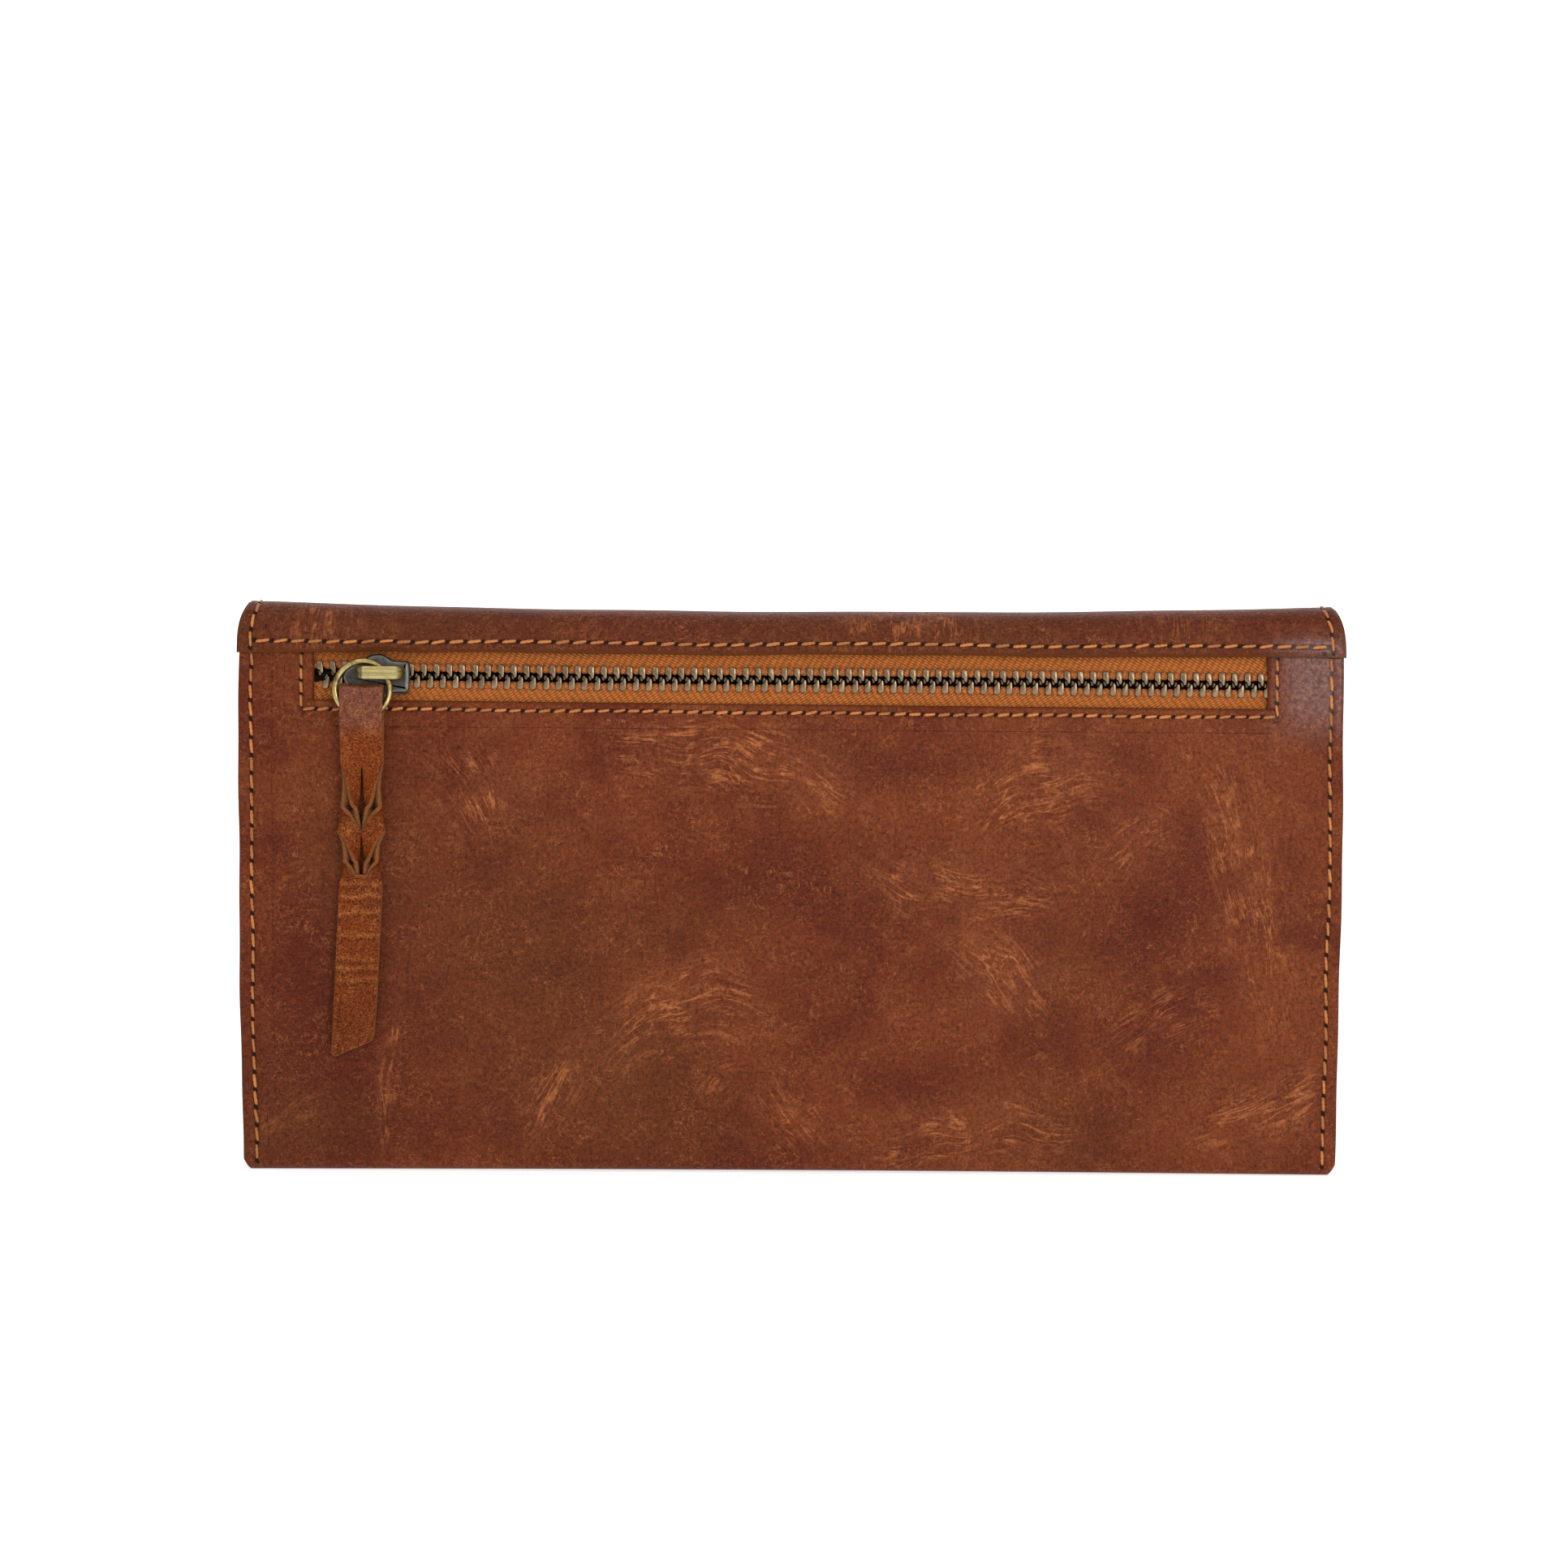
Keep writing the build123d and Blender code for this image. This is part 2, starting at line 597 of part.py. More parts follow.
def strap_outline():
    """The strap below its loop: the braid's two lobes, then the tail with its slanted cut."""
    with BuildLine() as outline:
        a = STRAP_JOIN_Z + 3
        mid = (STRAP_JOIN_Z + BRAID_END_Z) / 2
        left, right = STRAP_X - STRAP_HALF, STRAP_X + STRAP_HALF
        Line((left, a), (right, a))
        Line((right, a), (right, STRAP_JOIN_Z))
        Spline(
            (right, STRAP_JOIN_Z), (right - 0.6, mid + 6), (STRAP_X + BRAID_HALF, mid - 2),
            (right, BRAID_END_Z),
        )
        Line((right, BRAID_END_Z), (right + TAIL_LEAN, TAIL_HIGH_Z))
        Line((right + TAIL_LEAN, TAIL_HIGH_Z), (left + TAIL_LEAN + TAIL_CHAMFER_X, TAIL_LOW_Z))
        Line((left + TAIL_LEAN + TAIL_CHAMFER_X, TAIL_LOW_Z), (left + TAIL_LEAN, TAIL_LOW_Z + TAIL_CHAMFER_Z))
        Line((left + TAIL_LEAN, TAIL_LOW_Z + TAIL_CHAMFER_Z), (left, BRAID_END_Z))
        Spline(
            (left, BRAID_END_Z), (STRAP_X - BRAID_HALF, mid - 2), (left + 0.6, mid + 6),
            (left, STRAP_JOIN_Z),
        )
        Line((left, STRAP_JOIN_Z), (left, a))
    return outline


def make_pull_strap():
    half = STRAP_LEATHER / 2
    back, front = STRAP_BACK - half, STRAP_FRONT + half
    turn = (back - front) / 2
    bend_z = STRAP_FOLD_Z - half - turn
    low_back, low_front = STRAP_BACK - half, STRAP_BACK - 3 * half
    with BuildPart() as strap:
        with BuildSketch(Plane.YZ.offset(STRAP_X - STRAP_HALF)):
            with BuildLine() as loop:
                Line((low_back, STRAP_JOIN_Z), (back, bend_z))
                ThreePointArc((back, bend_z), ((back + front) / 2, bend_z + turn), (front, bend_z))
                Line((front, bend_z), (front, bend_z - LOOP_DROP))
                Line((front, bend_z - LOOP_DROP), (low_front, STRAP_JOIN_Z))
            trace(loop.edges(), line_width=STRAP_LEATHER)
        extrude(amount=2 * STRAP_HALF)
        with BuildSketch(Plane.XZ.offset(-STRAP_BACK)):
            add(strap_outline().line)
            make_face()
        extrude(amount=2 * STRAP_LEATHER)
    return save(strap, "pull_strap")


# Seams -----------------------------------------------------------------------


def stitch_row(name, places):
    """Short flat runs of thread lying on the leather; each place is x, z, surface y and slope."""
    spots = [Location((x, y, z), (0, -slope, 0)) for x, z, y, slope in places]
    with BuildPart() as row:
        with Locations(*spots):
            Box(STITCH_LENGTH, THREAD, STITCH_WIDTH)
    return save(row, name)


def line_places(start, end, surface):
    """Stitch places evenly along a straight seam."""
    a, b = Vector(start[0], 0, start[1]), Vector(end[0], 0, end[1])
    run = b - a
    count = max(1, round(run.length / STITCH_PITCH))
    slope = Vector(run.X, run.Z, 0).get_signed_angle(Vector(1, 0, 0)) * -1
    spots = [a + run * ((index + 0.5) / count) for index in range(count)]
    return [(spot.X, spot.Z, surface, slope) for spot in spots]


def make_seams():
    on_back = BACK_OUT - THREAD / 2
    inset, low, high = SEAM_INSET, SIDE_SEAM_BOTTOM, SIDE_SEAM_TOP
    for side, edge, sign in (("left", left_edge, 1), ("right", right_edge, -1)):
        ends = [(edge(z) + sign * inset, z) for z in (low, high)]
        stitch_row(f"stitch_side_{side}", line_places(*ends, on_back))
    left, right = WINDOW_LEFT - WINDOW_SEAM_LEFT, WINDOW_RIGHT + WINDOW_SEAM_RIGHT
    bottom, top, corner = WINDOW_BOTTOM - WINDOW_SEAM_BELOW, WINDOW_SEAM_TOP, WINDOW_SEAM_CORNER
    window = line_places((left, top), (left, bottom), on_back)
    window += line_places((left + corner, bottom), (right - corner, bottom), on_back)
    window += line_places((right, bottom), (right, top), on_back)
    stitch_row("stitch_zip_window", window)
    on_flap = FLAP_BACK_OUT - THREAD / 2
    seam = line_places((FLAP_LEFT + 2, FLAP_SEAM_Z), (FLAP_RIGHT - 2, FLAP_SEAM_Z), on_flap)
    stitch_row("stitch_flap_seam", seam)
    top, half = FRONT_TOP - FRONT_SEAM_DROP, FRONT_SEAM_HALF
    front = line_places((-half, top), (half, top), FRONT_OUT + THREAD / 2)
    stitch_row("stitch_front_top", front)


def make_flap_edge_seam():
    """Thread round the flap cover's free edge, one path with two rounded corners."""
    inset = SEAM_INSET
    left, right, bottom = FLAP_LEFT + inset, FLAP_RIGHT - inset, COVER_BOTTOM + inset
    radius = COVER_CORNER - inset
    with BuildLine() as path:
        FilletPolyline((left, BACK_TOP), (left, bottom), (right, bottom), (right, BACK_TOP), radius=radius)
    seam = path.wire()
    count = round(seam.length / STITCH_PITCH)
    places = []
    for index in range(count):
        share = (index + 0.5) / count
        spot, along = seam @ share, seam % share
        slope = Vector(1, 0, 0).get_signed_angle(Vector(along.X, along.Y, 0))
        places.append((spot.X, spot.Y, FLAP_FRONT_OUT + THREAD / 2, slope))
    return stitch_row("stitch_flap_edge", places)


make_back_panel()
make_base_fold()
make_side_welts()
make_pocket_plies()
make_gussets()
make_flap_seam_strip()
make_flap_top()
make_flap_cover()
make_front_sheet("front_panel", FRONT_IN, FRONT_OUT, 0.0, FRONT_TOP)
lining_top = FRONT_TOP - FRONT_LINING_DROP
make_front_sheet("front_lining", FRONT_LINING_IN, FRONT_IN, FRONT_LINING_INSET, lining_top)
make_divider()
make_press_stud()
make_zip_tapes()
make_teeth()
make_zip_stops()
make_slider_body()
make_slider_bridge()
make_pull_ring()
make_pull_strap()
make_seams()
make_flap_edge_seam()
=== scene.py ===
"""Looks of the zipped flap wallet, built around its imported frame.

Sizes are in millimetres until a mesh is made."""

from math import cos, pi, radians, sin, tau

import bpy
import numpy as np
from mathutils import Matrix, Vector


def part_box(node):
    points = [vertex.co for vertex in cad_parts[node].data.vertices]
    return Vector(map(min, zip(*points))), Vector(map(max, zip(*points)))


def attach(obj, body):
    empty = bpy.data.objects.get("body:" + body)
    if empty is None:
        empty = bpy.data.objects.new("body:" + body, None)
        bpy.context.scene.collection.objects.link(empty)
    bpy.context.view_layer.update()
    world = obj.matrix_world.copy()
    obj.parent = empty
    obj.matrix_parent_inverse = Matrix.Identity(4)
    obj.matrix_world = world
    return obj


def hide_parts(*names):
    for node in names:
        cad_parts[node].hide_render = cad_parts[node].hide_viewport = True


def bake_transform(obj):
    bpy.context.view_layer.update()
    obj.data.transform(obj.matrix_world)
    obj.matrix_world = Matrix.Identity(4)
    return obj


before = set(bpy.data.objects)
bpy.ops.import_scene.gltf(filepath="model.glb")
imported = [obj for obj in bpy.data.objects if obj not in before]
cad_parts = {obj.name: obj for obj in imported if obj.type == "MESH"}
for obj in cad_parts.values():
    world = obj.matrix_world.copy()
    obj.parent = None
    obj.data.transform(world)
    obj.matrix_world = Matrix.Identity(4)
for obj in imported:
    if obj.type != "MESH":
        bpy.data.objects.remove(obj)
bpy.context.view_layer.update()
SCENE = bpy.context.scene
MM = 0.001
X, Y, Z = 0, 1, 2


def box(node):
    low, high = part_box(node)
    return np.array(low) / MM, np.array(high) / MM


LOW = {node: box(node)[0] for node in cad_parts}
HIGH = {node: box(node)[1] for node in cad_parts}

# Faces and edges of the frame -------------------------------------------------

BACK_OUT, BACK_IN = LOW["back_panel"][Y], HIGH["back_panel"][Y]
LEATHER = BACK_IN - BACK_OUT
FRONT_OUT = HIGH["front_panel"][Y]
BACK_TOP = HIGH["back_panel"][Z]
FRONT_TOP = HIGH["front_panel"][Z]
FLAP_CUT = LOW["flap_seam_strip"][Z]
FLAP_BACK = LOW["flap_seam_strip"][Y]
FLAP_FRONT = HIGH["flap_cover_leather"][Y]
FLAP_TOP = HIGH["flap_top_leather"][Z]
FLAP_HALF = HIGH["flap_cover_leather"][X]
COVER_BOTTOM = LOW["flap_cover_leather"][Z]
CREASE = FLAP_TOP - BACK_TOP
COVER_CORNER = 18.0
FRONT_CORNER = 4.0
FOLD_RADIUS = 2.5
ZIP_Z = (HIGH["zip_teeth_upper"][Z] + LOW["zip_teeth_lower"][Z]) / 2
TAPE_Y = (LOW["zip_tape_upper"][Y] + HIGH["zip_tape_upper"][Y]) / 2
TAPE = HIGH["zip_tape_upper"][Y] - LOW["zip_tape_upper"][Y]
TAPE_HIDDEN = 3.5
WINDOW_LEFT = LOW["zip_tape_upper"][X] + TAPE_HIDDEN
WINDOW_RIGHT = HIGH["zip_tape_upper"][X] - TAPE_HIDDEN
WINDOW_BOTTOM, WINDOW_TOP = 84.7, 93.9
EDGE_BULGE = 0.35
LIP_SLOPE = 0.004
NO_SEAM = 9.0


def stacked(*parts):
    return np.stack(parts, -1)


def smooth(value, start=0.0, end=1.0):
    share = np.clip((value - start) / (end - start), 0.0, 1.0)
    return share * share * (3.0 - 2.0 * share)


def ripple(a, b, seed, length, amount, waves=7):
    """Gentle seeded unevenness over a surface, as a sum of long waves."""
    rng = np.random.default_rng(seed)
    total = 0.0 * (a + b)
    for _ in range(waves):
        turn, phase = rng.uniform(0, tau), rng.uniform(0, tau)
        size = length * rng.uniform(0.6, 1.7)
        total += np.sin((a * cos(turn) + b * sin(turn)) * tau / size + phase)
    return total * amount / waves ** 0.5


def lengths(points):
    """The length along a line of points, at each of them."""
    return np.concatenate([[0], np.cumsum(np.linalg.norm(np.diff(points, axis=0), axis=1))])


def between_rows(s, run, rows):
    """Rows of two numbers, read off at lengths s."""
    return np.stack([np.interp(s, run, rows[:, k]) for k in (0, 1)], -1)


def edge_line(z, bounds, sign, waves):
    """X of one side of the body at height z: nearly straight, with a slight bulge and waves.

    Each wave is its height, length and start."""
    share = np.clip(z / BACK_TOP, 0.0, 1.0)
    foot, head = bounds["base_fold"][X], bounds["back_panel"][X]
    straight = foot + (head - foot) * share + sign * EDGE_BULGE * 4 * share * (1 - share)
    return straight + sum(height * np.sin(z / length + start) for height, length, start in waves)


def left_edge(z):
    return edge_line(z, LOW, -1, ((0.09, 7.0, 0), (0.05, 2.9, 0)))


def right_edge(z):
    return edge_line(z, HIGH, 1, ((0.08, 8.3, 1), (0.05, 3.3, 0)))


# Mesh helpers -----------------------------------------------------------------


def new_object(name, points, faces, fields):
    """A mesh object from points in millimetres, faces as index lists, and point attributes."""
    mesh = bpy.data.meshes.new(name)
    mesh.from_pydata((np.asarray(points) * MM).tolist(), [], [list(map(int, face)) for face in faces])
    for key, values in fields.items():
        values = np.asarray(values, np.float32)
        kind = "FLOAT" if values.ndim == 1 else "FLOAT_VECTOR"
        field = mesh.attributes.new(key, kind, "POINT")
        field.data.foreach_set("value" if values.ndim == 1 else "vector", values.ravel())
    mesh.polygons.foreach_set("use_smooth", [True] * len(mesh.polygons))
    mesh.update()
    obj = bpy.data.objects.new(name, mesh)
    SCENE.collection.objects.link(obj)
    return obj


def lines(low, high, step, fine=()):
    """Grid lines from low to high, closer together round each (place, reach, gap) in fine."""
    kept = [low, high] + [place for place, _, _ in fine if low < place < high]
    wanted = [(step, mark) for mark in np.arange(low, high, step)]
    for place, reach, gap in fine:
        count = int(reach / gap)
        wanted += [(gap, place + gap * k) for k in range(-count, count + 1)]
    for gap, mark in sorted(wanted):
        if low < mark < high and np.abs(np.array(kept) - mark).min() > 0.6 * gap:
            kept.append(mark)
    return np.array(sorted(set(kept)))


def unit(vectors):
    return vectors / np.maximum(np.linalg.norm(vectors, axis=-1, keepdims=True), 1e-12)


def normals(place, x, w, sign):
    gap = 0.05
    across = place(x + gap, w) - place(x - gap, w)
    along = place(x, w + gap) - place(x, w - gap)
    return unit(np.cross(across, along)) * sign


class Profile:
    """A line through the YZ plane, sampled finely; at() gives its point at a length along it."""

    def __init__(self, start):
        self.points = [np.array(start, float)]

    def to(self, y, z):
        self.points.append(np.array((y, z), float))
        return self

    def arc(self, y, z, radius, first, last):
        for angle in np.linspace(radians(first), radians(last), 60)[1:]:
            self.points.append(np.array((y + radius * cos(angle), z + radius * sin(angle))))
        return self

    def done(self):
        self.points = np.array(self.points)
        self.run = lengths(self.points)
        self.length = self.run[-1]
        return self

    def at(self, s):
        return np.interp(s, self.run, self.points[:, 0]), np.interp(s, self.run, self.points[:, 1])


# A seam's sampling and reach in millimetres, how many points are looked at in one go, and how
# far past its two ends it still marks the leather, in stitches.
SEAM_STEP, SEAM_REACH, BATCH, SEAM_PAST = 0.5, 3, 4000, 0.3


class Seam:
    """A line of stitches in a panel's flat plane."""

    def __init__(self, corners, pitch, slant=0.12):
        corners = np.array(corners, float)
        run = lengths(corners)
        self.count = max(1, round(run[-1] / pitch))
        self.pitch = run[-1] / self.count
        self.slant = slant
        self.run = np.linspace(0, run[-1], int(run[-1] / SEAM_STEP) + 2)
        self.points = between_rows(self.run, run, corners)
        self.tangents = unit(np.gradient(self.points, axis=0))

    def at(self, s):
        """Points and directions at lengths along the seam."""
        return between_rows(s, self.run, self.points), unit(between_rows(s, self.run, self.tangents))

    def near(self, x, w):
        """Each point's place along the seam, in stitches, and its distance to the left of it."""
        flat = stacked(x.ravel(), w.ravel())
        low, high = self.points.min(0) - SEAM_REACH, self.points.max(0) + SEAM_REACH
        inside = np.flatnonzero(((flat > low) & (flat < high)).all(1))
        along, across = np.full(len(flat), 0.5), np.full(len(flat), NO_SEAM)
        for some in np.array_split(inside, max(1, len(inside) // BATCH)):
            if len(some):
                apart = flat[some, None] - self.points[None]
                best = (apart ** 2).sum(-1).argmin(1)
                apart = apart[np.arange(len(some)), best]
                tangent = self.tangents[best]
                along[some] = (self.run[best] + (apart * tangent).sum(-1)) / self.pitch
                across[some] = tangent[:, 0] * apart[:, 1] - tangent[:, 1] * apart[:, 0]
                past = (along[some] < -SEAM_PAST) | (along[some] > self.count + SEAM_PAST)
                across[some[past]] = NO_SEAM
        return along.reshape(x.shape), across.reshape(x.shape)


GROOVE_DEPTH, GROOVE_HALF = 0.17, 0.55


def seam_field(seams, x, w):
    """The nearest seam's coordinates at each point."""
    along, across = np.full(x.shape, 0.5), np.full(x.shape, NO_SEAM)
    for seam in seams:
        a, b = seam.near(x, w)
        nearer = np.abs(b) < np.abs(across)
        along, across = np.where(nearer, a, along), np.where(nearer, b, across)
    return along, across


def groove(along, across):
    """How far the leather is pulled in by its seams: a channel, deeper at each hole."""
    hole = 0.75 + 0.25 * np.cos(along * tau)
    return GROOVE_DEPTH * hole * np.exp(-(across / GROOVE_HALF) ** 2)


FAN_SPREAD = 1.45


def fan_field(x, w, fans):
    """Coordinates along and across the nearest bundle of creases, and how strong it is."""
    best, second = np.zeros(x.shape), np.zeros(x.shape)
    along, across = np.zeros(x.shape), np.zeros(x.shape)
    x, w = x + ripple(x, w, 81, 21.0, 0.9), w + ripple(x, w, 82, 17.0, 0.9)
    for index, (cx, cz, length, width, turn, bend, strength) in enumerate(fans):
        c, s = cos(radians(turn)), sin(radians(turn))
        a = (x - cx) * c + (w - cz) * s
        b = -(x - cx) * s + (w - cz) * c + bend * a * a / length
        length, width = length * FAN_SPREAD, width * FAN_SPREAD
        force = strength * smooth(1 - np.hypot(a / length, b / width), 0.0, 1.0)
        new = force > best
        second = np.where(new, best, np.maximum(second, force))
        along, across = np.where(new, a + 40 * index, along), np.where(new, b, across)
        best = np.where(new, force, best)
    return stacked(along, across, np.clip(best - second, 0, 1))


def spots(x, w, places):
    total = np.zeros(x.shape)
    for cx, cz, rx, rz, strength in places:
        total += strength * np.exp(-((x - cx) / rx) ** 2 - ((w - cz) / rz) ** 2)
    return np.clip(total, 0, 1)


THIN_RIM = 0.2  # the least share of a sheet's thickness, right at its cut edge
INNER_SHIFT = 7  # sets the inner face's grain apart from the outer face's


def sheet(name, us, vs, fit, place, thickness, rim, sign=1, keep=None, seams=(), dent=None,
          fans=(), tones=None, bevel=(0.0, 0.0), rim_round=None):
    """A sheet with real thickness over a grid: fit widens the grid to the outline, place bends it.

    rim gives the distance to the nearest edge, keep says which cells are there, dent presses the
    outer face in, and bevel = (reach, depth) slopes the outer face down towards its edges.
    """
    u, v = np.meshgrid(us, vs, indexing="ij")
    x, w = fit(u, v), v
    middle, normal = place(x, w), normals(place, x, w, sign)
    off = rim(x, w)
    share = np.clip(off / (rim_round or thickness / 2), 0.0, 1.0)
    full = np.maximum(np.sqrt(1 - (1 - share) ** 2), THIN_RIM)
    along, across = seam_field(seams, x, w)
    press = groove(along, across)
    if dent is not None:
        press = press + dent(x, w)
    if bevel[0]:
        slope = 1 - smooth(off, 0.0, bevel[0])
        press = press + bevel[1] * slope
    outer = middle + normal * (thickness / 2 * full - press * full)[..., None]
    inner = middle - normal * (thickness / 2 * full)[..., None]
    raw = 1 - smooth(full, 0.45, 0.9)
    if bevel[0]:
        raw = np.maximum(raw, 0.9 * smooth(slope, 0.15, 0.6))
    fields = {
        "flat": [stacked(x, w, 0 * x), stacked(x, w, 0 * x + INNER_SHIFT)],
        "seam": [stacked(along, across, 0 * x), stacked(0.5 + 0 * x, NO_SEAM + 0 * x, 0 * x)],
        "raw": [raw, np.ones(x.shape)],
        "crease": [fan_field(x, w, fans), np.zeros(x.shape + (3,))],
        "tone": [tones(x, w) if tones else np.zeros(x.shape + (3,)), np.zeros(x.shape + (3,))],
    }
    size = u.size
    index = np.arange(size).reshape(u.shape)
    a, b, c, d = index[:-1, :-1], index[1:, :-1], index[1:, 1:], index[:-1, 1:]
    centre = [(grid[:-1, :-1] + grid[1:, 1:]) / 2 for grid in (x, w)]
    kept = keep(*centre) if keep else np.ones(a.shape, bool)
    ring = np.pad(kept, 1)
    top = stacked(a, b, c, d)[kept]
    faces = [top, top[:, ::-1] + size]
    sides = ((a, b, ring[1:-1, :-2]), (b, c, ring[2:, 1:-1]), (c, d, ring[1:-1, 2:]), (d, a, ring[:-2, 1:-1]))
    for near, far, beyond in sides:
        faces.append(stacked(far, near, near + size, far + size)[kept & ~beyond])
    faces = np.concatenate(faces)
    points = np.concatenate([outer.reshape(-1, 3), inner.reshape(-1, 3)])
    first = top[len(top) // 2]
    facing = np.cross(points[first[1]] - points[first[0]], points[first[3]] - points[first[0]])
    if facing @ normal.reshape(-1, 3)[first[0]] < 0:
        faces = faces[:, ::-1]
    used, faces = np.unique(faces, return_inverse=True)
    faces = faces.reshape(-1, 4)
    packed = {}
    for key, (front, back) in fields.items():
        both = np.concatenate([front.reshape(size, -1), back.reshape(size, -1)])[used]
        packed[key] = both[:, 0] if both.shape[1] == 1 else both
    return new_object(name, points[used], faces, packed)


THREAD_RADIUS = 0.26
STITCH_START, STITCH_SHARE = 0.10, 0.80  # where in its pitch a stitch begins, and how much it takes
STITCH_RINGS, STITCH_SIDES = 11, 8
STITCH_DIP, STITCH_RISE = 0.42, 0.16
PLY_TURNS, PLY_DEPTH = 3.2, 0.16


def threads(name, rows, seed):
    """Stitches as short two-ply threads that dip into their holes. rows are (seam, place, lift, sign)."""
    rng = np.random.default_rng(seed)
    rings, sides = STITCH_RINGS, STITCH_SIDES
    all_points, all_faces, shades, start = [], [], [], 0
    t = np.linspace(0, 1, rings)[None, :]
    for seam, place, lift, sign in rows:
        count = seam.count
        jitter = rng.normal(0, 1, (count, 4))
        first = (np.arange(count)[:, None] + STITCH_START + 0.02 * jitter[:, :1]) * seam.pitch
        s = first + t * seam.pitch * STITCH_SHARE
        flat, tangent = seam.at(s)
        slant = seam.slant * (2 * t - 1) * (1 + 0.3 * jitter[:, 1:2])
        x = flat[..., 0] - tangent[..., 1] * slant
        w = flat[..., 1] + tangent[..., 0] * slant
        out = normals(place, x, w, sign)
        dip = STITCH_DIP * np.abs(2 * t - 1) ** 6
        height = lift - GROOVE_DEPTH + STITCH_RISE + 0.02 * jitter[:, 2:3] - dip
        line = place(x, w) + out * height[..., None]
        forward = unit(np.gradient(line, axis=1))
        side = unit(np.cross(forward, out))
        up = np.cross(side, forward)
        angle = np.linspace(0, tau, sides, endpoint=False)
        twist = PLY_TURNS * t * pi
        ply = 1 + PLY_DEPTH * np.cos(2 * (angle[None, None] - twist[..., None]))
        thick = THREAD_RADIUS * (1 - 0.30 * np.abs(2 * t - 1) ** 5) * (1 + 0.05 * jitter[:, 3:4])
        radius = thick[..., None] * ply
        ring = (line[:, :, None] + side[:, :, None] * (radius * np.cos(angle))[..., None]
                + up[:, :, None] * (radius * np.sin(angle) * 0.85)[..., None])
        all_points.append(ring.reshape(-1, 3))
        index = np.arange(count * rings * sides).reshape(count, rings, sides) + start
        after = np.roll(index, -1, axis=2)
        quads = stacked(index[:, :-1], after[:, :-1], after[:, 1:], index[:, 1:])
        all_faces += quads.reshape(-1, 4).tolist()
        all_faces += index[:, 0, ::-1].tolist() + index[:, -1].tolist()
        shades.append(np.repeat(rng.uniform(0, 1, count), rings * sides))
        start += count * rings * sides
    points = np.concatenate(all_points)
    return new_object(name, points, all_faces, {"flat": points, "shade": np.concatenate(shades)})


def skin(rings, sides, closed=False):
    """Faces between rings of points, one after another, and over the two ends unless closed."""
    faces = []
    for ring in range(rings if closed else rings - 1):
        low, high = ring * sides, (ring + 1) % rings * sides
        for k in range(sides):
            n = (k + 1) % sides
            faces.append([low + k, low + n, high + n, high + k])
    if not closed:
        faces.append(list(range(sides))[::-1])
        faces.append([(rings - 1) * sides + k for k in range(sides)])
    return faces


def slab(outline, levels):
    """Points and faces of a plate: its outline at several depths, each drawn in by an inset."""
    outline = np.array(outline, float)
    ahead, behind = np.roll(outline, -1, axis=0), np.roll(outline, 1, axis=0)
    tangent = unit(ahead - behind)
    area = 0.5 * np.sum(outline[:, 0] * ahead[:, 1] - ahead[:, 0] * outline[:, 1])
    inward = stacked(-tangent[:, 1], tangent[:, 0]) * np.sign(area)
    count, points = len(outline), []
    for depth, inset in levels:
        flat = outline + inward * inset
        points.append(stacked(flat[:, 0], np.full(count, depth), flat[:, 1]))
    points = np.concatenate(points)
    faces = skin(len(levels), count)
    deeper = levels[-1][0] > levels[0][0]
    if (area > 0) == deeper:
        faces = [face[::-1] for face in faces]
    return points, faces


def merge(parts):
    """Several (points, faces) as one."""
    points, faces, start = [], [], 0
    for some, its in parts:
        points.append(some)
        faces += [[start + k for k in face] for face in its]
        start += len(some)
    return np.concatenate(points), faces


def chaikin(points, rounds, closed=False):
    points = np.array(points, float)
    for _ in range(rounds):
        ahead = np.roll(points, -1, axis=0) if closed else points[1:]
        base = points if closed else points[:-1]
        new = np.stack([0.75 * base + 0.25 * ahead, 0.25 * base + 0.75 * ahead], 1)
        new = new.reshape(-1, points.shape[1])
        points = new if closed else np.concatenate([points[:1], new, points[-1:]])
    return points


def sweep(path, sections, closed=False):
    """Points and faces of a section carried along a path; sections[k] is a ring of 3-D offsets."""
    path, sections = np.array(path), np.array(sections)
    count, sides = sections.shape[:2]
    points = (path[:, None] + sections).reshape(-1, 3)
    return points, skin(count, sides, closed)


def lathe(profile, centre, sides=72):
    """A round form about the Y axis through centre, from (radius, y) points."""
    profile = np.array(profile, float)
    angle = np.linspace(0, tau, sides, endpoint=False)
    points = [stacked(centre[0] + r * np.cos(angle), np.full(sides, y), centre[1] + r * np.sin(angle))
              for r, y in profile]
    faces = [face[::-1] for face in skin(len(profile), sides)]
    return np.concatenate(points), faces


# Shader helpers ---------------------------------------------------------------


SHEEN_ROUGHNESS, COAT_ROUGHNESS = 0.5, 0.35


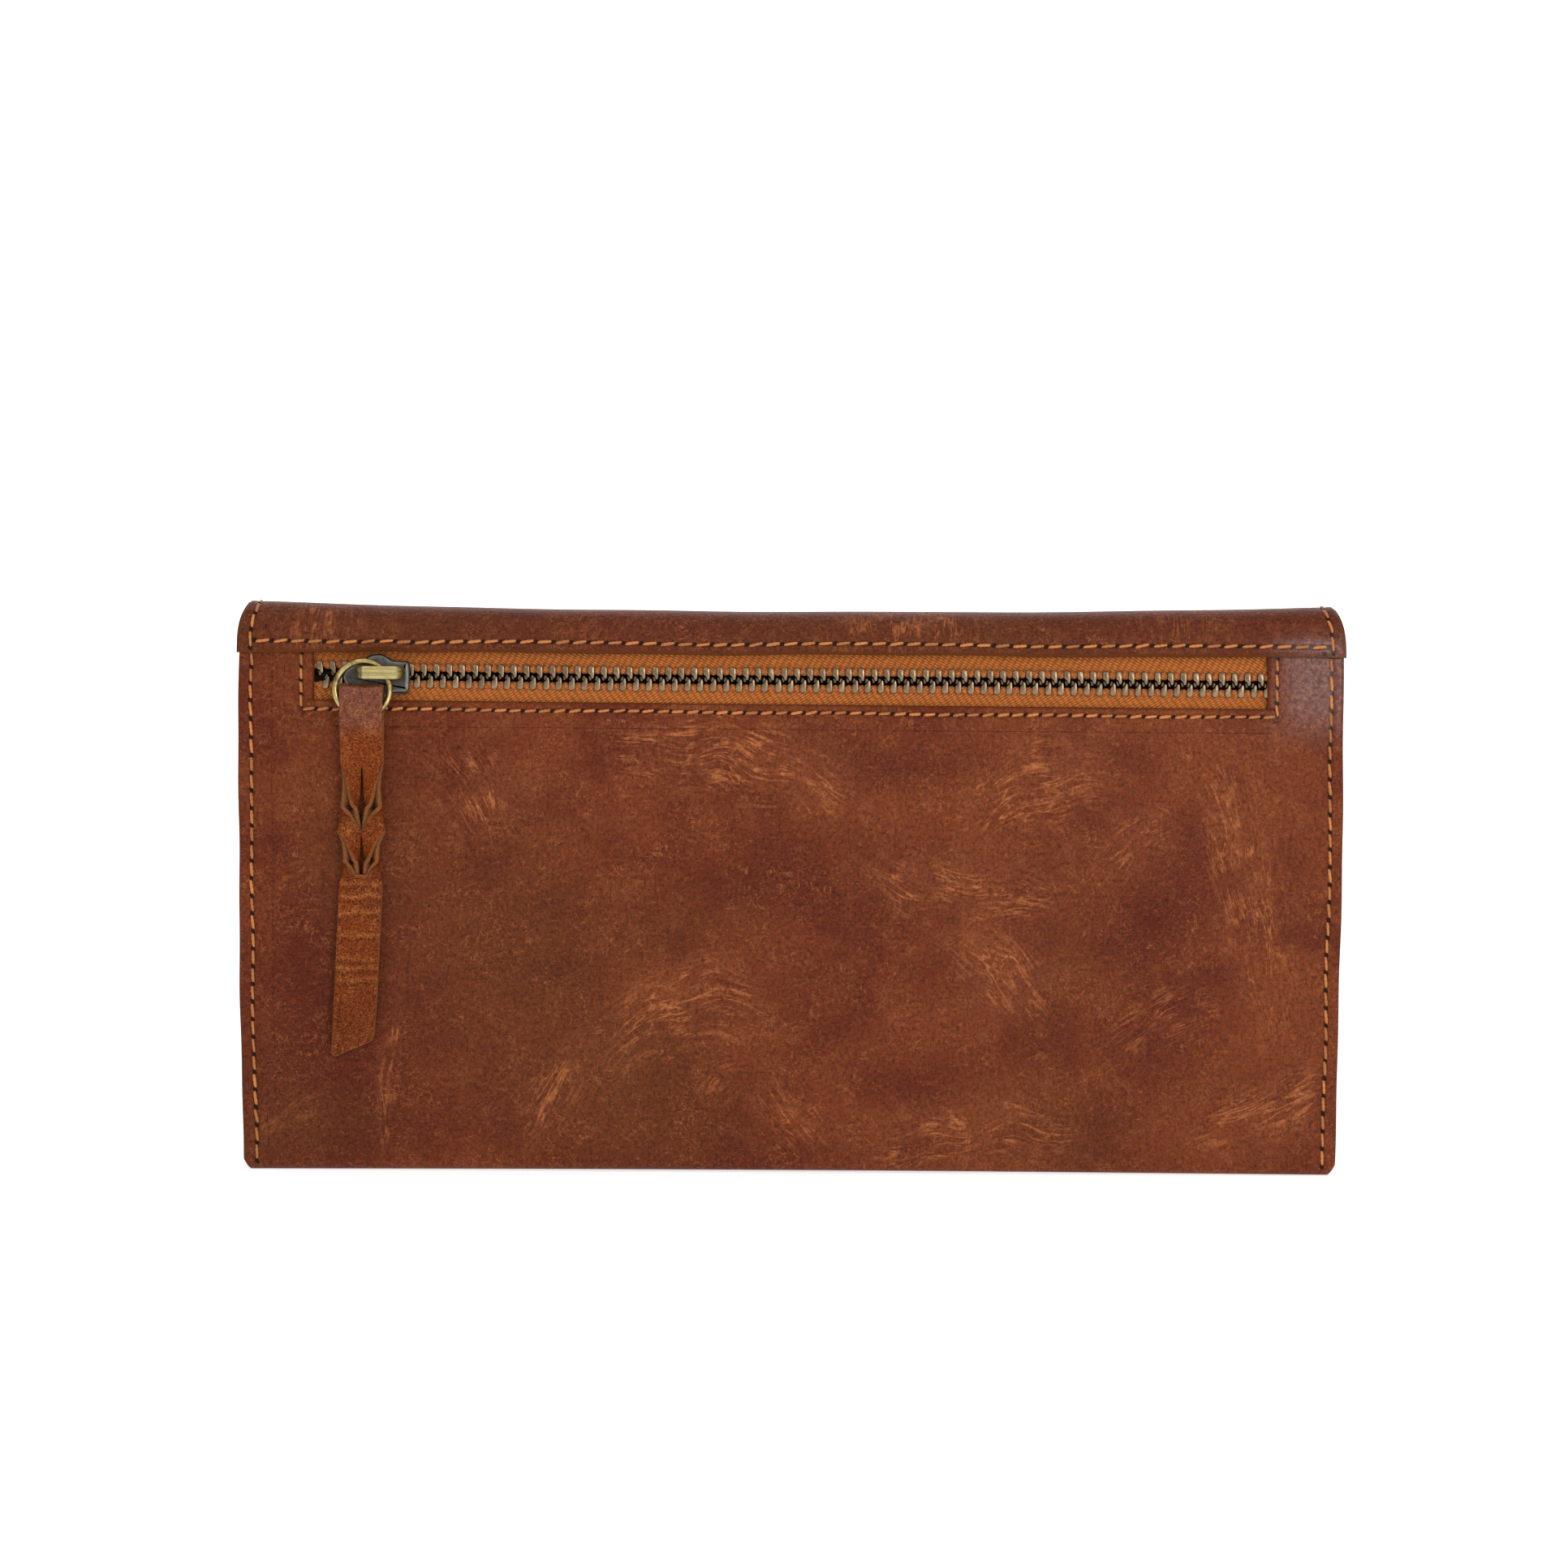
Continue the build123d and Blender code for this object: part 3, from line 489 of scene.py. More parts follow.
class Shader:
    """A node material in the making."""

    def __init__(self, name):
        self.material = bpy.data.materials.new(name)
        self.material.use_nodes = True
        self.tree = self.material.node_tree
        self.surface = self.tree.nodes["Principled BSDF"]

    def put(self, node, name, value):
        socket = node.inputs[name]
        if isinstance(value, bpy.types.NodeSocket):
            self.tree.links.new(value, socket)
        else:
            socket.default_value = value

    def node(self, kind, settings=None, **inputs):
        node = self.tree.nodes.new(kind)
        for key, value in (settings or {}).items():
            setattr(node, key, value)
        for key, value in inputs.items():
            self.put(node, int(key[1:]) if key[0] == "i" and key[1:].isdigit() else key, value)
        return node

    def field(self, name, output="Vector"):
        return self.node("ShaderNodeAttribute", {"attribute_name": name}).outputs[output]

    def math(self, operation, a, b=0.0, c=0.0, clamp=False):
        node = self.node("ShaderNodeMath", {"operation": operation, "use_clamp": clamp}, i0=a, i1=b, i2=c)
        return node.outputs[0]

    def times(self, a, b):
        return self.math("MULTIPLY", a, b)

    def plus(self, a, b, c, clamp=False):
        """a times b, plus c."""
        return self.math("MULTIPLY_ADD", a, b, c, clamp)

    def apart(self, a, b):
        return self.math("ABSOLUTE", self.math("SUBTRACT", a, b))

    def parts(self, vector):
        return self.node("ShaderNodeSeparateXYZ", None, Vector=vector).outputs

    def join(self, x, y, z=0.0):
        return self.node("ShaderNodeCombineXYZ", None, X=x, Y=y, Z=z).outputs[0]

    def scaled(self, vector, scale, turn=0.0, shift=(0, 0, 0)):
        return self.node("ShaderNodeMapping", None, Vector=vector, Scale=scale,
                         Rotation=(0, 0, radians(turn)), Location=shift).outputs[0]

    def noise(self, vector, scale, detail=2.0, rough=0.5, warp=0.0):
        node = self.node("ShaderNodeTexNoise", None, Vector=vector, Scale=scale, Detail=detail,
                         Roughness=rough, Distortion=warp)
        return node.outputs["Fac"]

    def cells(self, vector, scale, random=1.0, feature="F1", output="Distance"):
        node = self.node("ShaderNodeTexVoronoi", {"feature": feature, "voronoi_dimensions": "2D"},
                         Vector=vector, Scale=scale, Randomness=random)
        return node.outputs[output]

    def between(self, value, low, high, to_low=0.0, to_high=1.0):
        """A smooth step of value from low to high."""
        node = self.node("ShaderNodeMapRange", {"interpolation_type": "SMOOTHSTEP"}, Value=value)
        for key, number in (("From Min", low), ("From Max", high), ("To Min", to_low), ("To Max", to_high)):
            self.put(node, key, number)
        return node.outputs[0]

    def ridge(self, value, level, width):
        """1 on the contour of value at level, falling to 0 within width."""
        return self.between(self.apart(value, level), 0.0, width, 1.0, 0.0)

    def mix(self, share, a, b, blend="MIX"):
        node = self.node("ShaderNodeMix", {"data_type": "RGBA", "blend_type": blend})
        for key, value in ((0, share), (6, a), (7, b)):
            value = (*value, 1.0) if isinstance(value, tuple) else value
            self.put(node, key, value)
        return node.outputs[2]

    def shaded(self, colour, shade):
        """The colour times one number."""
        return self.mix(1.0, colour, self.join(shade, shade, shade), "MULTIPLY")

    def finish(self, colour, roughness, height=None, depth=0.1, strength=1.0, metal=0.0, specular=0.5,
               sheen=0.0, coat=0.0):
        self.put(self.surface, "Base Color", colour)
        self.put(self.surface, "Roughness", roughness)
        self.put(self.surface, "Metallic", metal)
        self.put(self.surface, "Specular IOR Level", specular)
        if sheen:
            self.put(self.surface, "Sheen Weight", sheen)
            self.put(self.surface, "Sheen Roughness", SHEEN_ROUGHNESS)
        if coat:
            self.put(self.surface, "Coat Weight", coat)
            self.put(self.surface, "Coat Roughness", COAT_ROUGHNESS)
        if height is not None:
            bump = self.node("ShaderNodeBump", None, Height=height, Distance=depth * MM, Strength=strength)
            self.put(self.surface, "Normal", bump.outputs[0])
        return self.material


# Materials --------------------------------------------------------------------


# Noise and cells, in repeats per millimetre of leather.
BROAD, PATCH, FLECK, CURL = 0.055, 0.23, 1.15, 0.42
PEBBLES, GRAIN, PORES = 2.1, 5.6, 1.75
# The rubbed corner, in millimetres: from its left, its foot and its top edge inwards.
CORNER_LEFT, CORNER_FOOT, CORNER_TOP = (83.0, 94.0), (75.0, 88.0), (100.0, 96.0)
HOLE_SIZE, LINE_SIZE = (0.26, 0.48), (0.15, 0.75)
# Near black for the needle holes: painted shade in each hole.
HOLE_SHADE_COLOUR = (0.012, 0.006, 0.004)
VEIN_GAIN = (1.6, 1.85, 1.7)
GRAIN_DEPTH = 0.13


def pale_veins(sh, flat, crease, seed, hide):
    """Short fibres and hairs, and thin wrinkles along each bundle of creases."""
    curl = sh.noise(flat, CURL, 5.0, 0.60, 0.9)
    fibre = sh.times(sh.ridge(curl, 0.5, 0.020), sh.between(sh.noise(flat, 0.11, 2.0), 0.40, 0.60))
    hair = sh.noise(sh.scaled(flat, (0.35, 0.75, 1), 20), 1.0, 4.0, 0.6, 1.0)
    hairs = sh.times(sh.ridge(hair, 0.52, 0.016), 0.6)
    bent = sh.join(sh.times(crease[0], 0.065), sh.times(crease[1], 0.50), seed * 3.0)
    folds = sh.noise(bent, 1.0, 3.0, 0.55, 0.5)
    fine = sh.join(sh.times(crease[0], 0.12), sh.times(crease[1], 0.66), seed * 5.0)
    wrinkle = sh.noise(fine, 1.0, 2.0, 0.55, 0.5)
    thin_line = sh.times(sh.ridge(wrinkle, 0.47, 0.034), 0.75)
    fold_line = sh.math("MAXIMUM", sh.ridge(folds, 0.5, 0.044), thin_line)
    broken = sh.between(sh.noise(flat, 0.19, 3.0, 0.6), 0.40, 0.58, 0.12, 1.0)
    fold_line = sh.times(fold_line, sh.times(broken, sh.between(crease[2], 0.0, 0.65)))
    return sh.math("MAXIMUM", fold_line, sh.times(sh.math("MAXIMUM", fibre, hairs), 0.72 * hide))


def worn_wax(sh, fleck, bend):
    """Where handling has rubbed the wax smooth: at one top corner, or along the pull's bend."""
    place = sh.parts(sh.field("flat"))
    gloss = sh.times(sh.between(place[0], *CORNER_LEFT), sh.between(place[1], *CORNER_FOOT))
    gloss = sh.times(gloss, sh.between(place[1], *CORNER_TOP))
    burnished = sh.times(gloss, sh.between(fleck, 0.38, 0.64, 0.35, 1.0))
    if bend:
        near = sh.between(sh.apart(place[1], bend), 1.0, 7.0, 1.0, 0.0)
        burnished = sh.times(near, sh.between(fleck, 0.35, 0.62, 0.45, 1.0))
    return gloss, burnished


def needle_holes(sh):
    """The needle holes, painted near black as painted shade, and the darker pressed line of each seam."""
    seam = sh.parts(sh.field("seam"))
    turn = sh.math("SUBTRACT", sh.math("FRACT", sh.math("ADD", seam[0], 0.5)), 0.5)
    turn = sh.math("SUBTRACT", sh.times(turn, 2.9), sh.times(seam[1], 0.5))
    reach = sh.math("SQRT", sh.math("ADD", sh.math("POWER", turn, 2.0),
                                    sh.times(sh.math("POWER", seam[1], 2.0), 1.2)))
    hole = sh.between(reach, *HOLE_SIZE, 1.0, 0.0)
    line = sh.between(sh.math("ABSOLUTE", seam[1]), *LINE_SIZE, 1.0, 0.0)
    return hole, line


def leather(name, base, dark, light, olive, seed, pores=0.0, hide=1.0, polish=0.0, shine=0.12, bend=None):
    """Waxed pull-up leather: mottled, pebbled, with paler creases, fibres and raw edges."""
    sh = Shader(name)
    flat = sh.scaled(sh.field("flat"), (1, 1, 1), 0, (seed * 31.0, seed * 17.0, 0))
    tone = sh.parts(sh.field("tone"))
    crease = sh.parts(sh.field("crease"))
    raw = sh.field("raw", "Fac")
    broad = sh.noise(flat, BROAD, 3.0, 0.55, 0.6)
    patch = sh.noise(flat, PATCH, 3.0, 0.6, 0.4)
    fleck = sh.noise(flat, FLECK, 4.0, 0.72)
    colour = sh.mix(sh.between(broad, 0.34, 0.60, 0.30), dark, base)
    colour = sh.mix(sh.times(sh.between(patch, 0.5, 0.72), 0.42), colour, light)
    # The dark part of tone brings in the leather's dark patches and, on some pieces, painted shade: the
    # back's lower left, the band's top, the strap's bends.
    colour = sh.mix(sh.times(tone[0], 0.95), colour, dark)
    colour = sh.mix(sh.times(tone[1], 0.5), colour, light)
    colour = sh.mix(sh.times(tone[2], 0.7), colour, olive)
    # Pebbled grain and hair pores.
    pebble = sh.cells(sh.scaled(flat, (1.0, 0.8, 1)), PEBBLES, 0.95)
    small = sh.cells(flat, GRAIN, 1.0)
    gap = sh.between(pebble, 0.42, 0.75)
    veins = pale_veins(sh, flat, crease, seed, hide)
    bright = tuple(min(1.0, part * gain) for part, gain in zip(light, VEIN_GAIN))
    colour = sh.mix(sh.times(crease[2], 0.08), colour, light)
    colour = sh.mix(veins, colour, bright)
    gloss, burnished = worn_wax(sh, fleck, bend)
    shade = sh.plus(fleck, 1.7, 0.15)
    shade = sh.times(shade, sh.plus(gap, -0.35, 1.08))
    if pores:
        pore = sh.cells(sh.scaled(flat, (1.0, 1.25, 1)), PORES, 1.0)
        dots = sh.between(pore, 0.10, 0.26, 1.0, 0.0)
        shade = sh.times(shade, sh.plus(dots, -pores, 1.0))
    hole, line = needle_holes(sh)
    shade = sh.times(shade, sh.plus(line, -0.15, 1.0))
    colour = sh.shaded(colour, shade)
    # Raw cut edges and the flesh side.
    nap = sh.noise(sh.scaled(flat, (1.0, 3.0, 1)), 2.2, 3.0, 0.7)
    split = sh.mix(nap, tuple(part * 0.7 for part in olive), tuple(part * 1.7 for part in olive))
    colour = sh.mix(raw, colour, split)
    # Painted shade: each needle hole is painted near black.
    colour = sh.mix(hole, colour, HOLE_SHADE_COLOUR)
    height = sh.times(sh.math("SUBTRACT", 1.0, pebble), 0.38)
    height = sh.plus(sh.math("SUBTRACT", 1.0, small), 0.16, height)
    height = sh.plus(veins, -0.45, height)
    height = sh.plus(patch, 0.9, height)
    height = sh.plus(hole, -2.5, height)
    if pores:
        height = sh.plus(dots, -0.9, height)
    rough = sh.plus(fleck, 0.22, 0.42 - polish)
    rough = sh.plus(gloss, -0.16, rough)
    rough = sh.plus(raw, 0.35, rough, clamp=True)
    return sh.finish(colour, rough, height, GRAIN_DEPTH, 0.9, specular=shine, coat=burnished)


TWILL_DARK, TWILL_FLOAT, TWILL_YARN = (0.11, 0.022, 0.003), (0.60, 0.150, 0.016), (0.85, 0.28, 0.055)
THREAD_DARK, THREAD_PALE = (0.32, 0.095, 0.016), (0.66, 0.25, 0.055)


def tape_cloth(name, lean):
    """Orange-brown twill of fine slanted floats."""
    sh = Shader(name)
    flat = sh.field("flat")
    lay = sh.scaled(flat, (1.0, 1.0, 1.0), lean)
    rib = sh.cells(sh.scaled(lay, (1.0, 2.3, 1)), 0.95, 0.22)
    yarn = sh.noise(sh.scaled(lay, (2.0, 11.0, 1)), 1.0, 2.0, 0.6)
    tint = sh.noise(flat, 0.5, 3.0, 0.6)
    float_top = sh.between(rib, 0.12, 0.62, 1.0, 0.0)
    colour = sh.mix(float_top, TWILL_DARK, TWILL_FLOAT)
    colour = sh.mix(sh.times(yarn, 0.45), colour, TWILL_YARN)
    shade = sh.plus(tint, 0.5, 0.75)
    colour = sh.shaded(colour, shade)
    height = sh.plus(yarn, 0.3, float_top)
    return sh.finish(colour, 0.75, height, 0.16, 1.0, specular=0.25, sheen=0.12)


def thread_fibre(name):
    sh = Shader(name)
    flat, shade = sh.field("flat"), sh.field("shade", "Fac")
    fuzz = sh.noise(sh.scaled(flat, (3.0, 3.0, 3.0)), 1.6, 3.0, 0.7)
    colour = sh.mix(fuzz, THREAD_DARK, THREAD_PALE)
    tint = sh.plus(shade, 0.5, 0.7)
    colour = sh.shaded(colour, tint)
    return sh.finish(colour, 0.55, fuzz, 0.08, 0.8, specular=0.35, sheen=0.1)


WEAVE = 0.62  # millimetres from one lining yarn to the next but one


def woven_cloth(name, warp, weft):
    """Plain-weave lining."""
    sh = Shader(name)
    flat = sh.parts(sh.field("flat"))
    across = sh.math("SINE", sh.times(flat[0], tau / WEAVE))
    along = sh.math("SINE", sh.times(flat[1], tau / WEAVE))
    over = sh.times(across, along)
    weave = sh.between(over, -0.4, 0.4)
    uneven = sh.noise(sh.field("flat"), 0.4, 3.0, 0.6)
    colour = sh.mix(weave, warp, weft)
    shade = sh.plus(uneven, 0.7, 0.65)
    colour = sh.shaded(colour, shade)
    height = sh.math("ADD", sh.math("ABSOLUTE", across), sh.math("ABSOLUTE", along))
    return sh.finish(colour, 0.85, height, 0.06, 0.8, specular=0.25, sheen=0.15)


def antique_metal(name, bright, dark, rough, use_wear=True, speck=1.0):
    """Plated metal with patina in its hollows; wear is 1 on polished faces."""
    sh = Shader(name)
    place = sh.node("ShaderNodeTexCoord").outputs["Object"]
    place = sh.scaled(place, (1 / MM,) * 3)
    patch = sh.noise(place, 0.9, 4.0, 0.65)
    fine = sh.noise(place, 5.0, 3.0, 0.7)
    wear = sh.field("wear", "Fac") if use_wear else 0.7
    shine = sh.plus(sh.between(patch, 0.38, 0.62), 0.5 * speck, sh.times(wear, 0.8))
    shine = sh.plus(sh.math("SUBTRACT", fine, 0.5), 0.6 * speck, shine, clamp=True)
    colour = sh.mix(shine, dark, bright)
    gloss = sh.plus(fine, 0.2, rough)
    gloss = sh.plus(sh.math("SUBTRACT", 1.0, shine), 0.22, gloss, clamp=True)
    return sh.finish(colour, gloss, fine, 0.015, 0.5, metal=1.0)


BASE, DARK = (0.153, 0.030, 0.0070), (0.088, 0.0110, 0.0035)
LIGHT, OLIVE = (0.222, 0.059, 0.020), (0.095, 0.026, 0.0055)
FLESH = (0.17, 0.075, 0.032)
M = {
    "body": leather("body_leather", BASE, DARK, LIGHT, OLIVE, 1),
    "flap": leather("flap_leather", (0.088, 0.018, 0.005), DARK, LIGHT, OLIVE, 2),
    "cover": leather("cover_leather", BASE, DARK, LIGHT, OLIVE, 3),
    "strap": leather("strap_leather", (0.190, 0.034, 0.004), (0.120, 0.022, 0.003), (0.36, 0.115, 0.028),
                     (0.17, 0.062, 0.020), 4, pores=0.8, hide=0.7, polish=0.10, shine=0.10, bend=64.5),
    "welt": leather("welt_leather", FLESH, OLIVE, FLESH, OLIVE, 5),
    "card": leather("card_leather", (0.17, 0.043, 0.018), (0.14, 0.03, 0.013), LIGHT, OLIVE, 6, hide=0.5),
    "tape_upper": tape_cloth("zip_tape_upper_twill", 28),
    "tape_lower": tape_cloth("zip_tape_lower_twill", -33),
    "thread": thread_fibre("thread"),
    "lining": woven_cloth("lining_weave", (0.045, 0.024, 0.012), (0.085, 0.048, 0.026)),
    "gusset": woven_cloth("gusset_weave", (0.04, 0.02, 0.01), (0.07, 0.038, 0.02)),
    "teeth": antique_metal("teeth_brass", (0.30, 0.205, 0.125), (0.026, 0.020, 0.013), 0.18, speck=0.5),
    "slider": antique_metal("slider_gunmetal", (0.24, 0.225, 0.20), (0.042, 0.038, 0.032), 0.26, speck=0.35),
    "bridge": antique_metal("bridge_brass", (0.52, 0.42, 0.18), (0.12, 0.085, 0.03), 0.22, speck=0.7),
    "ring": antique_metal("ring_brass", (0.55, 0.43, 0.17), (0.13, 0.085, 0.03), 0.20, speck=1.0),
    "snap": antique_metal("snap_brass", (0.50, 0.40, 0.19), (0.11, 0.08, 0.03), 0.2, speck=0.7),
}


def dress(obj, material):
    obj.data.materials.append(M[material])
    return obj


def settle(obj, material, slot, body, *nodes):
    """Gives a piece its material, the body it rides on and the nodes it stands for; slot is not used."""
    dress(obj, material)
    if nodes:
        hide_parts(*nodes)
    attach(obj, body)


# Body shell: zipped back, folded base and front, cut from one hide -----------------

HALF = LEATHER / 2
SHELL = (
    Profile((BACK_OUT + HALF, BACK_TOP))
    .to(BACK_OUT + HALF, FOLD_RADIUS)
    .arc(BACK_OUT + FOLD_RADIUS, FOLD_RADIUS, FOLD_RADIUS - HALF, 180, 270)
    .to(FRONT_OUT - FOLD_RADIUS, HALF)
    .arc(FRONT_OUT - FOLD_RADIUS, FOLD_RADIUS, FOLD_RADIUS - HALF, -90, 0)
    .to(FRONT_OUT - HALF, FRONT_TOP)
    .done()
)
SHELL_END = BACK_TOP - SHELL.length
FRONT_FOOT = SHELL_END + FRONT_TOP - FOLD_RADIUS
FRONT_SHIFT = HIGH["front_panel"][X] - HIGH["back_panel"][X]


def shell_height(w):
    """Z of the shell at w, which is Z on the back and runs on below zero round the base."""
    return SHELL.at(BACK_TOP - w)[1]


def shell_shift(w):
    return FRONT_SHIFT * (1 - smooth(w, FRONT_FOOT, 0.0))


def fold_tuck(z):
    """How far the sides are drawn in at the base fold."""
    return 0.7 * (1 - smooth(z, 0.4, 2.2))


def shell_fit(u, w):
    z = shell_height(w)
    tuck = fold_tuck(z)
    low, high = left_edge(z) + tuck, right_edge(z) - tuck
    corner = np.clip(1 - (w - SHELL_END) / FRONT_CORNER, 0, 1)
    pull = FRONT_CORNER * (1 - np.sqrt(1 - corner ** 2))
    return shell_shift(w) + low + pull + (u + 1) / 2 * (high - low - 2 * pull)


def lip_slope(x, w):
    """The window's lower lip runs down a little to the right."""
    return -LIP_SLOPE * x * smooth(w, 76.0, WINDOW_BOTTOM) * (1 - smooth(w, WINDOW_BOTTOM + 0.5, 92.0))


# Gentle swells in the leather, as length and height.
BACK_SWELL, FRONT_SWELL, LIP_SWELL = (46.0, 0.16), (60.0, 0.18), (14.0, 0.05)
COVER_SWELL, TOP_SWELL, PANEL_SWELL = (55.0, 0.22), (45.0, 0.06), 40.0


def shell_place(x, w):
    y, z = SHELL.at(BACK_TOP - w)
    calm = smooth(w, -2.0, 8.0) * (1 - smooth(w, 74.0, 82.0))
    calm_front = 1 - smooth(w, FRONT_FOOT - 12.0, FRONT_FOOT)
    edge = smooth(99 - np.abs(x), 0.0, 12.0)
    y = y - ripple(x, w, 11, *BACK_SWELL) * calm * edge + ripple(x, w, 12, *FRONT_SWELL) * calm_front * edge
    y = y - ripple(x, 0 * w, 13, *LIP_SWELL) * smooth(w, 80.0, WINDOW_BOTTOM)
    z = z + lip_slope(x, w) + 0.3 * np.cos(x / 64.0) * (1 - smooth(z, 0.0, 6.0))
    return stacked(x, y, z)


def window_gap(x, w):
    side = np.maximum(np.maximum(WINDOW_LEFT - x, x - WINDOW_RIGHT), 0)
    above = np.maximum(np.maximum(WINDOW_BOTTOM - w, w - WINDOW_TOP), 0)
    return np.hypot(side, above)


def shell_rim(x, w):
    z = shell_height(w)
    x = x - shell_shift(w)
    sides = np.minimum(x - left_edge(z), right_edge(z) - x)
    tuck = fold_tuck(z)
    ends = np.minimum(BACK_TOP - w, w - SHELL_END)
    return np.minimum(np.minimum(np.maximum(sides - tuck, 0), ends), window_gap(x, w))


def as_it_is(u, w):
    return u


def outside_window(x, w):
    return (x < WINDOW_LEFT) | (x > WINDOW_RIGHT) | (w < WINDOW_BOTTOM) | (w > WINDOW_TOP)


SIDE_INSET, SIDE_PITCH, WINDOW_PITCH, FLAP_PITCH = 2.4, 3.15, 2.66, 3.2
SEAM_LEFT, SEAM_RIGHT, SEAM_BELOW = WINDOW_LEFT - 2.3, WINDOW_RIGHT + 1.7, WINDOW_BOTTOM - 1.55
SEAM_TOP = 95.5
SIDE_ENDS, WINDOW_END = (1.8, 94.0), 93.6
HIDDEN_PITCH = 2.9


def side_line(edge, sign, low, high):
    marks = np.linspace(low, high, 40)
    return stacked(edge(marks) + sign * (SIDE_INSET + 0.12 * np.sin(marks / 5.0)), marks)


def lower_line():
    marks = np.linspace(SEAM_LEFT, SEAM_RIGHT, 60)
    return stacked(marks, SEAM_BELOW + 0.08 * np.sin(marks / 6.0))


BODY_SEAMS = {
    "left": Seam(side_line(left_edge, 1, *SIDE_ENDS), SIDE_PITCH),
    "right": Seam(side_line(right_edge, -1, *SIDE_ENDS), SIDE_PITCH),
    "window_left": Seam([(SEAM_LEFT, WINDOW_END), (SEAM_LEFT, SEAM_BELOW)], WINDOW_PITCH, 0.05),
    "window_low": Seam(lower_line(), WINDOW_PITCH, 0.15),
    "window_right": Seam([(SEAM_RIGHT, SEAM_BELOW), (SEAM_RIGHT, WINDOW_END)], WINDOW_PITCH),
}
FRONT_SEAM_W = SHELL_END + 2.2
FRONT_SEAM = Seam([(-92, FRONT_SEAM_W), (92, FRONT_SEAM_W)], HIDDEN_PITCH)

# Bundles of creases on the back: middle, half length and width, turn, bend, strength.
BACK_FANS = [
    (-10, 75.5, 25, 8, -13, 0.22, 1.0), (30, 51, 19, 6, -9, -0.10, 0.85),
    (43, 70, 15, 9, 22, 0.25, 0.75), (38, 37, 13, 7, -46, 0.05, 0.7), (-20, 30, 16, 8, 16, 0.38, 1.0),
    (-42, 14, 13, 5, 58, 0.1, 0.55), (33, 7.5, 19, 5.5, 4, 0.12, 0.95), (83, 52, 32, 8, -77, 0.08, 0.65),
    (86, 12, 14, 6, 22, 0.1, 0.85), (-57, 68, 11, 9, -58, 0.15, 0.6), (1, 10, 12, 4.5, -52, 0.1, 0.55),
    (-72, 17, 19, 2.2, 88, 0.0, 0.6), (62, 60, 12, 5, 40, 0.2, 0.6), (-90, 10, 9, 6, 35, 0.1, 0.3),
    (-12, 17, 10, 4, 55, 0.1, 0.4), (66, 28, 14, 6, 30, 0.2, 0.5), (15, 63, 9, 6, -60, 0.1, 0.45),
]
# Patches of tone on the back: middle, the two half widths, strength. The two broad dark patches at the lower
# left, round x -88 and -84 at height 20, are painted shade.
DARK_SPOTS_AND_SHADE = [
    (-88, 20, 18, 24, 0.8), (-70, 6, 18, 9, 0.6), (-10, 4, 40, 5, 0.35), (-60, 45, 26, 22, 0.35),
    (62, 49, 9, 8, 1.0), (74, 62, 4, 3.5, 0.9), (74, 35, 6, 5, 0.8), (39, 51, 8, 4, 0.5),
    (-5, 56, 8, 11, 0.9), (-45, 39, 4.5, 3, 0.9), (-91, 62, 3, 3, 0.8), (-88, 37, 6, 6, 0.7),
    (-63, 75, 12, 5, 0.8), (-28, 72, 7, 4, 0.6), (18, 76, 18, 4, 0.9), (-18, 1, 20, 4, 0.7),
    (66, 24, 10, 7, 0.7), (5, 33, 9, 8, 0.5), (60, 75, 6, 5, 0.5), (-84, 20, 8, 14, 0.5),
    (90, 84, 6, 6, 0.2), (-64, 30, 6, 6, 0.4), (30, 20, 14, 6, 0.4),
]
LIGHT_SPOTS = [
    (4, 74, 14, 5, 0.5), (-21, 31, 13, 6, 0.5), (46, 73, 10, 7, 0.6), (40, 38, 9, 8, 0.8),
    (32, 8, 16, 5, 0.7), (-40, 17, 9, 9, 0.4), (84, 60, 7, 22, 0.3), (-50, 67, 9, 7, 0.5),
    (88, 14, 10, 8, 0.5), (30, 52, 16, 5, 0.5), (70, 82, 30, 4, 0.4), (62, 62, 10, 5, 0.4),
]
OLIVE_SPOTS = [
    (-49, 40, 16, 18, 0.8), (-30, 14, 20, 12, 0.8), (-77, 55, 10, 22, 0.6), (50, 7, 14, 8, 0.5),
    (-93, 12, 8, 12, 0.7), (-20, 45, 12, 8, 0.5), (52, 38, 8, 10, 0.3), (-80, 8, 12, 8, 0.5),
]


def back_tones_and_shade(x, w):
    on_back = smooth(w, -6.0, -1.0)
    wobble = 3.0 * np.sin(x / 9.0 + w / 13.0), 3.0 * np.sin(w / 8.0 - x / 15.0)
    x, w = x + wobble[0], w + wobble[1]
    # The dark part holds painted shade at the lower left, besides the leather's dark patches.
    tones = [spots(x, w, places) for places in (DARK_SPOTS_AND_SHADE, LIGHT_SPOTS, OLIVE_SPOTS)]
    return np.stack(tones, -1) * on_back[..., None]


def overcut(x, w):
    """The knife ran on a little past the window's two lower corners."""
    past = np.maximum(WINDOW_LEFT - x, x - WINDOW_RIGHT)
    cut = 0.55 * np.exp(-((w - WINDOW_BOTTOM) / 0.14) ** 2)
    return cut * smooth(past, -0.1, 0.1) * (1 - smooth(past, 1.3, 1.7))


SHELL_STEP = 1.45


